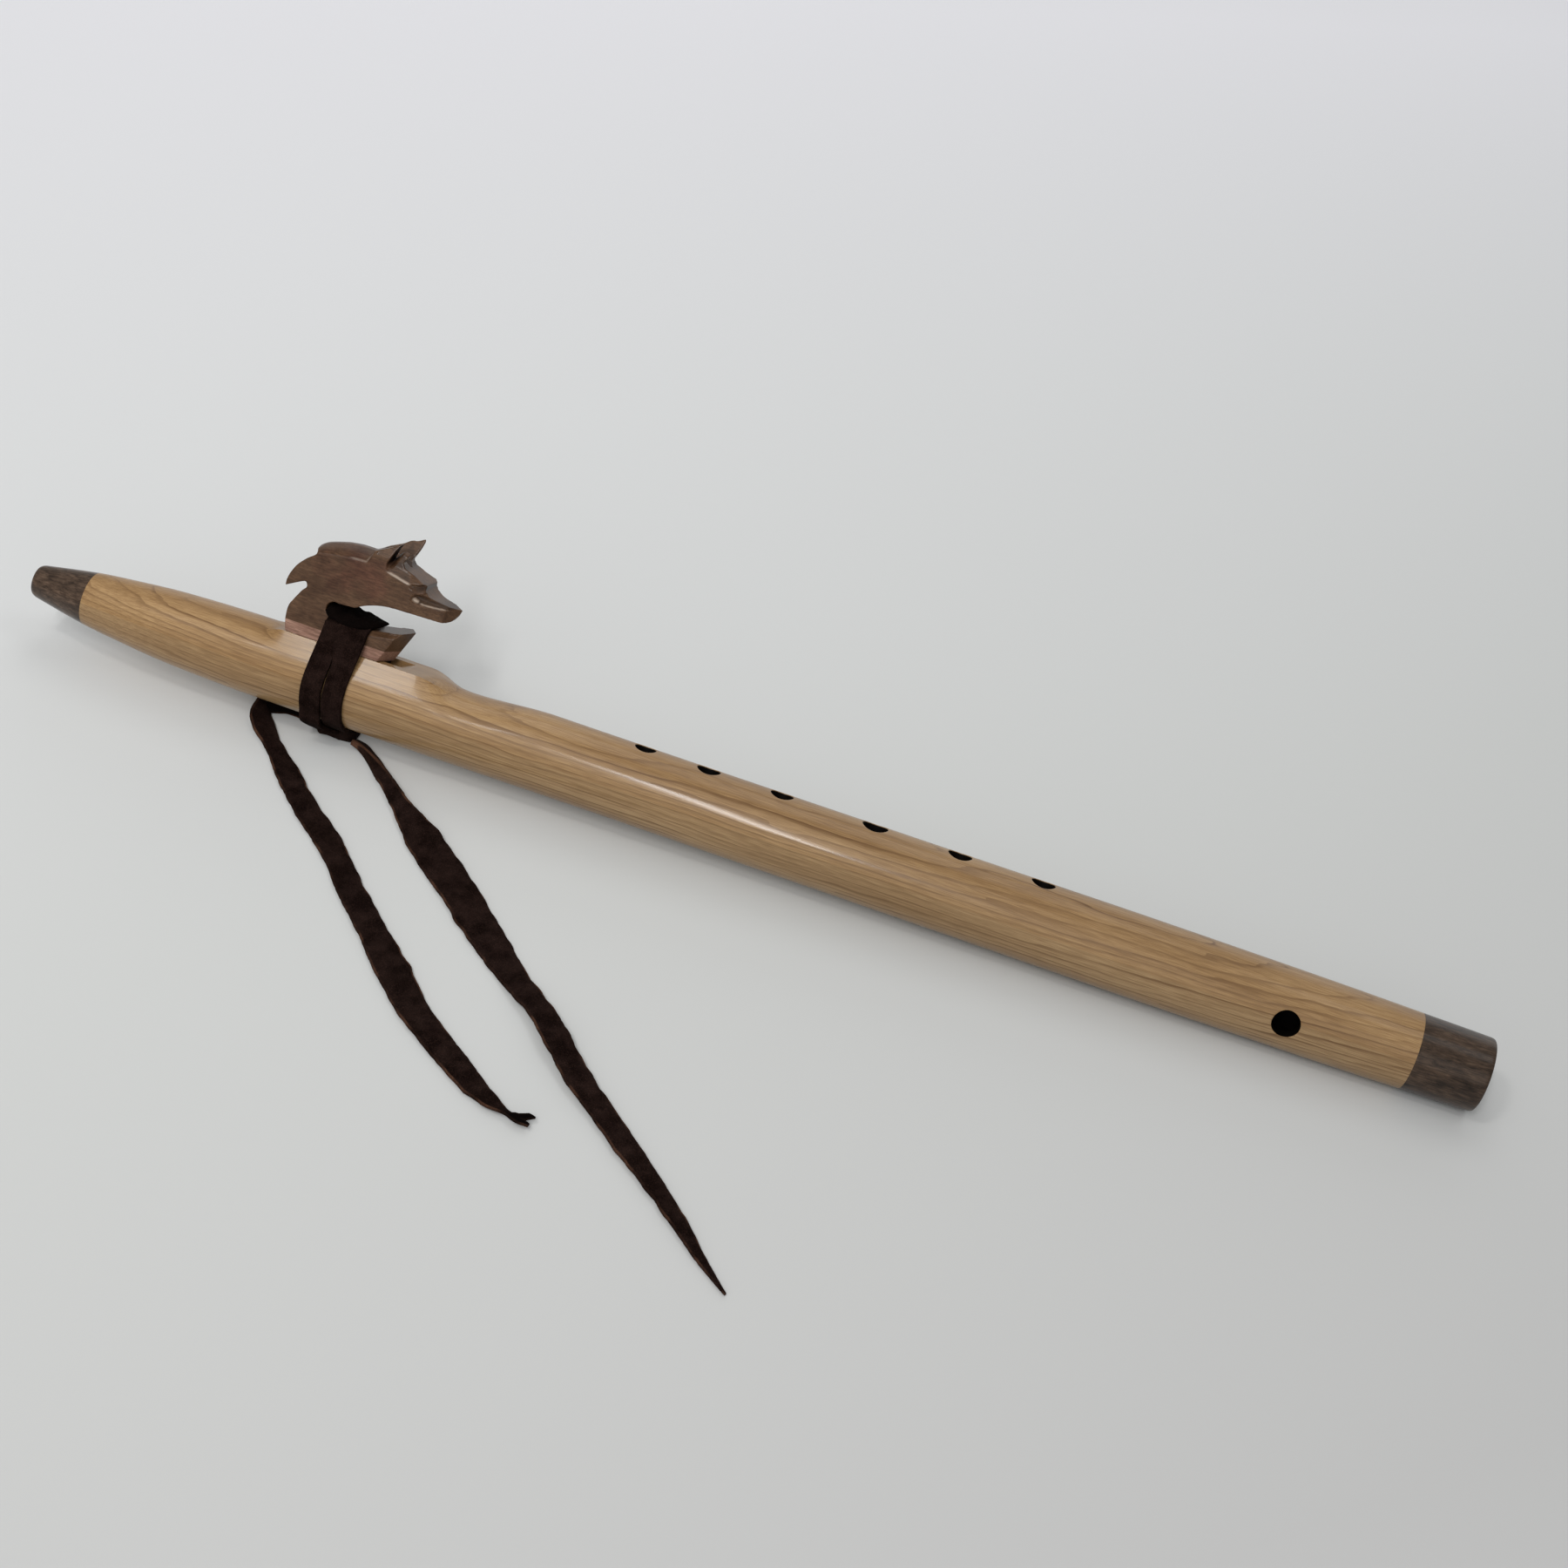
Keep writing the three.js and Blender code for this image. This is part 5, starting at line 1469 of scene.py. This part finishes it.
def furthest(angle):
    """Point of the rubber band in one direction, which corner it is, and the direction."""
    y, z = -math.sin(angle), math.cos(angle)
    best, reach, which = (y * seat_radius, z * seat_radius), seat_radius, -1
    for k, (cy, cz) in enumerate(saddle_corners):
        if cy * y + cz * z > reach:
            best, reach, which = (cy, cz), cy * y + cz * z, k
    return best, which, (y, z)


print("the lace meets the tube", round(math.degrees(descent)), "degrees from the top")

# %% [markdown]
# Each turn runs square round the near side and the saddle, and crosses to the next turn low
# on the far side. Under the flute both ends shift towards each other and rise to meet the
# knot. The turn is counted in radians from the underside, up the near side first.

# %% Path of the winding
def lace_place(turned):
    """Where along the flute the strip's middle is after so much of a turn."""
    passes = math.floor(turned / full_turn)
    within = turned - passes * full_turn
    lean = lace_lean * (1 - smooth_step(within, 0, math.pi / 2))
    across = (lace_pitch + lace_lean) * smooth_step(within, math.pi + descent, full_turn)
    middle = lace_from + lace_wide / 2 + lean + across + passes * lace_pitch
    run, bend = math.radians(10), math.radians(34)
    start = 1 - smooth_step(turned, path_start + run, path_start + bend)
    end = smooth_step(turned, path_end - bend, path_end - run)
    return float(middle + 4.3 * (start - end))


def lace_rise(turned):
    """Height of the strip's middle over the wood; it rises where it crosses its other end."""
    bend, lift = math.radians(34), math.radians(20)
    start = 1 - smooth_step(turned, path_start + bend, path_start + bend + lift)
    end = smooth_step(turned, path_end - bend - lift, path_end - bend)
    return float(lace_gap + lace_thick / 2 + (lace_thick + layer_gap) * (start + end))


print("the strip's middle starts", round(lace_place(path_start), 1), "and ends",
      round(lace_place(path_end), 1), "mm from the mouth end")

# %% [markdown]
# Stations for the strip's rings follow in even steps of the turn. Where the furthest point
# jumps from the tube to a corner, or from one corner to the next, the lace is straight, and
# a few more stations at the same direction fill that stretch.

# %% Stations of the winding
def winding_stations():
    stations = []
    before = None
    for turned in np.arange(path_start, path_end, full_turn / 150):
        held = furthest(math.pi - turned)
        if before and held[1] != before[1][1]:
            low, high = before[0], turned
            while high - low > 1e-5:
                half = (low + high) / 2
                if furthest(math.pi - half)[1] == before[1][1]:
                    low = half
                else:
                    high = half
            first, second = furthest(math.pi - low), furthest(math.pi - high)
            for share in np.linspace(0, 1, 8):
                point = [a + (b - a) * share for a, b in zip(first[0], second[0])]
                stations.append((low, point, first[2], first[1] if share < 0.5 else second[1]))
        stations.append((turned, held[0], held[2], held[1]))
        before = (turned, held)
    return stations


stations = winding_stations()
print("winding of", len(stations), "rings")

# %% [markdown]
# Along that path the strip's section is set up ring by ring, square to the wood. The second turn laps a little
# over the first above the flute. On the near side the two part and a sliver of wood shows between them. There the
# real bared edges are given their light fibre colour in full, as a painted highlight line.

# %% Winding
section = lace_ring(lace_wide / 2, lace_wide / 2, lace_thick)
points, raws = [], []
for turned, (y, z), (ny, nz), _ in stations:
    shift = top_shift * float(smooth_step(z, 2, 24))
    rise = lace_rise(turned)
    overlap = float(smooth_step(z, 8, 22)) if y < 0 and turned > full_turn else 0.0
    centre_x = lace_place(turned) + shift
    within = turned % full_turn
    apart = float(smooth_step(within, 4.3, 4.5) * (1 - smooth_step(within, 4.9, 5.15)))
    for across, up, raw in section:
        rim = 0.22 * smooth_step(abs(across), 2.9, 3.9)
        crease = 0.12 * noise.noise(Vector((turned * 3.0, across * 0.5, 4.0)))
        out = rise + up + (rim + crease) * (1 if up > -0.3 else 0)
        if across < 0:
            across, out = across * (1 + 0.8 * overlap), out + 0.6 * overlap
        at_seam = (across > 0) == (turned < full_turn)
        if at_seam:
            across -= 0.62 * apart * across / 4
        wobble = 0.18 * noise.noise(Vector((turned * 2.2, 9.0, 0.0)))
        points.append((centre_x + across + wobble, y + ny * out, z + nz * out))
        # At the seam the edges take the light bared colour in full, a painted highlight line.
        raws.append(raw * 1.8 * apart if at_seam else 0.0)
faces = skin(len(stations), len(section))
winding = outward(new_piece("lace_winding", on_flute(points), faces, suede))
mark(winding, raws)
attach(winding, "flute")
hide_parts("thong_winding")
print("winding", len(winding.data.polygons), "faces")

# %% [markdown]
# Where the lace passes under the wolf's throat, its slack is bunched up and a pointed flap
# of it sticks out over the saddle. A row of lens-shaped rings along the flute, with some
# noise on them, gives that crumpled tongue.

# %% Bunched flap on the saddle
flap_rows = [
    (112.5, 0, 29.2, 9.4, 0.2), (113.2, 0, 29.1, 9.8, 1.8), (114.4, -0.3, 29.0, 10.2, 2.6),
    (115.8, -0.6, 28.6, 10.3, 2.8), (117.3, -1.4, 27.9, 9.7, 2.2), (119, -2.2, 27.4, 9.2, 2.0),
    (121, -2.6, 27.2, 8.8, 2.1), (123, -2.9, 27.1, 8.4, 2.0), (125.5, -3.0, 27.2, 8.0, 1.9),
    (127.5, -3.0, 27.3, 7.4, 1.6), (129.5, -3, 27.5, 6.2, 1.4), (131.5, -2.6, 27.8, 4.4, 1.1),
    (133.2, -1.8, 28.2, 2.5, 0.8), (134.4, -1.1, 28.5, 0.9, 0.4), (134.8, -1, 28.6, 0.3, 0.15),
]
flap_line = smooth_line(flap_rows, 0.4)
flap_sides = 56
points = []


def blunted(value, power):
    return math.copysign(abs(value) ** power, value)


for x, y, z, wide, high in flap_line:
    for a in np.linspace(0, full_turn, flap_sides, endpoint=False):
        side, rise = blunted(math.sin(a), 0.7), blunted(math.cos(a), 0.7)
        fold = 0.6 * noise.noise(Vector((x * 0.45, side * 2.0, rise * 0.8 + 3.0)))
        crease = 0.3 * math.sin(x * 1.3 + side * 2.2 + rise)
        grow = 1 + (fold + crease) * 0.45 * min(1.0, high / 1.5)
        points.append((x, y + wide * side, z + 0.12 * wide * side + high * rise * grow))
flap = outward(new_piece("lace_flap", on_flute(points), skin(len(flap_line), flap_sides), suede))
# Painted shade: the flap lies in shadow under the wolf's throat and is darkened nearly to black.
mark(flap, [0.85] * len(points), "painted_shade")
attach(flap, "flute")
print("flap of", len(flap_line), "rings")

# %% [markdown]
# ## Knot
# The flute's mouth half rests on the knot, so its size and its flat underside stay as the CAD
# has them. The CAD solid is copied, without the flat strand that the strip above stands for,
# remeshed finely and rubbed soft, and then creased a little, as pressed leather is.

# %% Knot
knot = frame["nodes"]["thong_knot"].copy()
knot.data = knot.data.copy()
knot.parent = None
knot.name = "lace_knot"
for key in list(knot.keys()):
    del knot[key]
bpy.context.scene.collection.objects.link(knot)
shape = bmesh.new()
shape.from_mesh(knot.data)
bmesh.ops.remove_doubles(shape, verts=shape.verts, dist=1e-6)
strand_begins = knot_high.x - 17.9 * mm
bmesh.ops.bisect_plane(shape, geom=shape.verts[:] + shape.edges[:] + shape.faces[:],
                       plane_co=(strand_begins, 0, 0), plane_no=(1, 0, 0), clear_inner=True)
bmesh.ops.holes_fill(shape, edges=shape.edges)
bmesh.ops.recalc_face_normals(shape, faces=shape.faces)
shape.to_mesh(knot.data)
shape.free()
sanded(knot, 0.5, 6)
co = np.zeros(len(knot.data.vertices) * 3)
knot.data.vertices.foreach_get("co", co)
co = co.reshape(-1, 3)
for k, p in enumerate(co):
    push = 0.35 * mm * noise.noise(Vector(p) * 260)
    co[k, 2] = max(0.02 * mm, p[2] + push)
    co[k, 1] = p[1] + push
    near_end = max(0.0, p[0] - (knot_high.x - 8 * mm))
    co[k, 0] = p[0] - 0.2 * near_end
knot.data.vertices.foreach_set("co", co.ravel())
knot.data.materials.clear()
knot.data.materials.append(suede)
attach(knot, "flute")
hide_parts("thong_knot")
print("knot", len(knot.data.polygons), "faces")

# %% [markdown]
# ## Table and light
# The flute lies on a pale, plain table. One wide plane takes the shadows. Painted light in its own colour, and no
# extra light, makes the table paler towards the far left and greyer towards the near right, so that the flute is
# lit evenly. The world adds a dim fill.

# %% Floor and world
def floor_finish():
    finish, tree, shader = new_finish("pale_floor", 0.7)
    place = wire(tree, "TexCoord").outputs["Object"]
    axes = wire(tree, "SeparateXYZ", {0: place}).outputs
    towards = math.radians(130)
    far = sum_of(tree, work_out(tree, "MULTIPLY", axes["X"], math.cos(towards)),
                 work_out(tree, "MULTIPLY", axes["Y"], math.sin(towards)))
    shade = wire(tree, "MapRange", {"Value": far, "From Min": -0.33, "From Max": 0.8}).outputs[0]
    # Painted light: a ramp from grey at the near right to pale at the far left.
    painted_light_ramp = ramp(tree, shade, [(0.0, (0.521, 0.519, 0.517)), (0.283, (0.612, 0.619, 0.612)),
                              (0.566, (0.722, 0.728, 0.733)), (1.0, (0.884, 0.879, 0.916))])
    tree.links.new(painted_light_ramp, shader.inputs["Base Color"])
    shader.inputs["Specular IOR Level"].default_value = 0.1
    return finish


floor_reach = 6.0
floor = new_piece(
    "floor",
    [(x * floor_reach, y * floor_reach, 0) for x, y in ((-1, -1), (1, -1), (1, 1), (-1, 1))],
    [(0, 1, 2, 3)],
    floor_finish(),
)
world = bpy.data.worlds.new("room")
bpy.context.scene.world = world
world.use_nodes = True
background = world.node_tree.nodes["Background"].inputs
background["Color"].default_value = (0.92, 0.94, 0.935, 1)
background["Strength"].default_value = 0.34
print("floor", 2 * floor_reach, "m wide, world strength", background["Strength"].default_value)

# %% [markdown]
# A flute turned to a shine shows its lamps as long streaks, so the lamps' sizes matter more
# than their number. Two wide windows, in front and behind, and two large lamps above give
# soft shadows on both sides of the tube. The small lamp on the left gives the short glints on
# the bird and the nest, and the one on the right lifts the foot.

# %% Lamps
def area_lamp(name, place, target, size, power, colour):
    data = bpy.data.lights.new(name, "AREA")
    data.shape = "RECTANGLE"
    data.size, data.size_y = size
    data.energy = power
    data.color = colour
    lamp = bpy.data.objects.new(name, data)
    lamp.location = place
    lamp.rotation_euler = (Vector(target) - Vector(place)).to_track_quat("-Z", "Y").to_euler()
    bpy.context.scene.collection.objects.link(lamp)
    return lamp


area_lamp("ceiling_left", (-0.6, -0.75, 2.1), (-0.15, 0, 0), (1.4, 1.4), 7, (1.0, 1.0, 0.99))
area_lamp("window_front", (0, -2.4, 1.3), (0, 0, 0), (3.6, 1.8), 13, (1.0, 1.0, 1.0))
area_lamp("ceiling_far", (-0.2, 1.2, 2.0), (0, 0, 0), (1.2, 1.2), 7, (1.0, 1.0, 1.0))
area_lamp("window_far", (0.2, 2.6, 1.0), (0, 0, 0), (4.0, 1.6), 13, (1.0, 1.0, 1.0))
area_lamp("ceiling_right", (0.9, 0.1, 2.0), (0.05, 0, 0), (0.7, 0.7), 2.5, (0.98, 1.0, 1.0))
area_lamp("ceiling_spot", (-0.6, -0.66, 1.53), (-0.15, 0, 0), (0.22, 0.22), 3.5, (1.0, 0.98, 0.95))

# %% [markdown]
# The long highlight on the body comes from one narrow lamp. A cylinder mirrors a lamp as a
# line, and that line runs along the wood only where the lamp's own line is turned to match
# it. So this lamp is placed by its two ends, and its face is then turned to the flute.

# %% Long lamp in front, whose reflection runs along the wood
def tube_lamp(name, start, end, target, width, power):
    """A long narrow area lamp between two points, turned to a target."""
    start, end, target = Vector(start), Vector(end), Vector(target)
    data = bpy.data.lights.new(name, "AREA")
    data.shape = "RECTANGLE"
    data.size, data.size_y = width, (end - start).length
    data.energy = power
    lamp = bpy.data.objects.new(name, data)
    middle = (start + end) / 2
    length_way = (end - start).normalized()
    away = middle - target
    away = (away - length_way * away.dot(length_way)).normalized()
    side_way = length_way.cross(away)
    lamp.matrix_world = Matrix.Translation(middle) @ Matrix(
        (side_way, length_way, away)
    ).transposed().to_4x4()
    bpy.context.scene.collection.objects.link(lamp)
    return lamp


tube = tube_lamp("tube_front", (-0.34, -1.16, 1.81), (-0.11, -1.70, 1.35), (0, 0, 0), 0.1, 13.5)
print(tube.name, "is", round(tube.data.size_y, 2), "m long")

# %% [markdown]
# The Standard view shows colours as they are written.

# %% Settings
bpy.context.scene.view_settings.view_transform = "Standard"
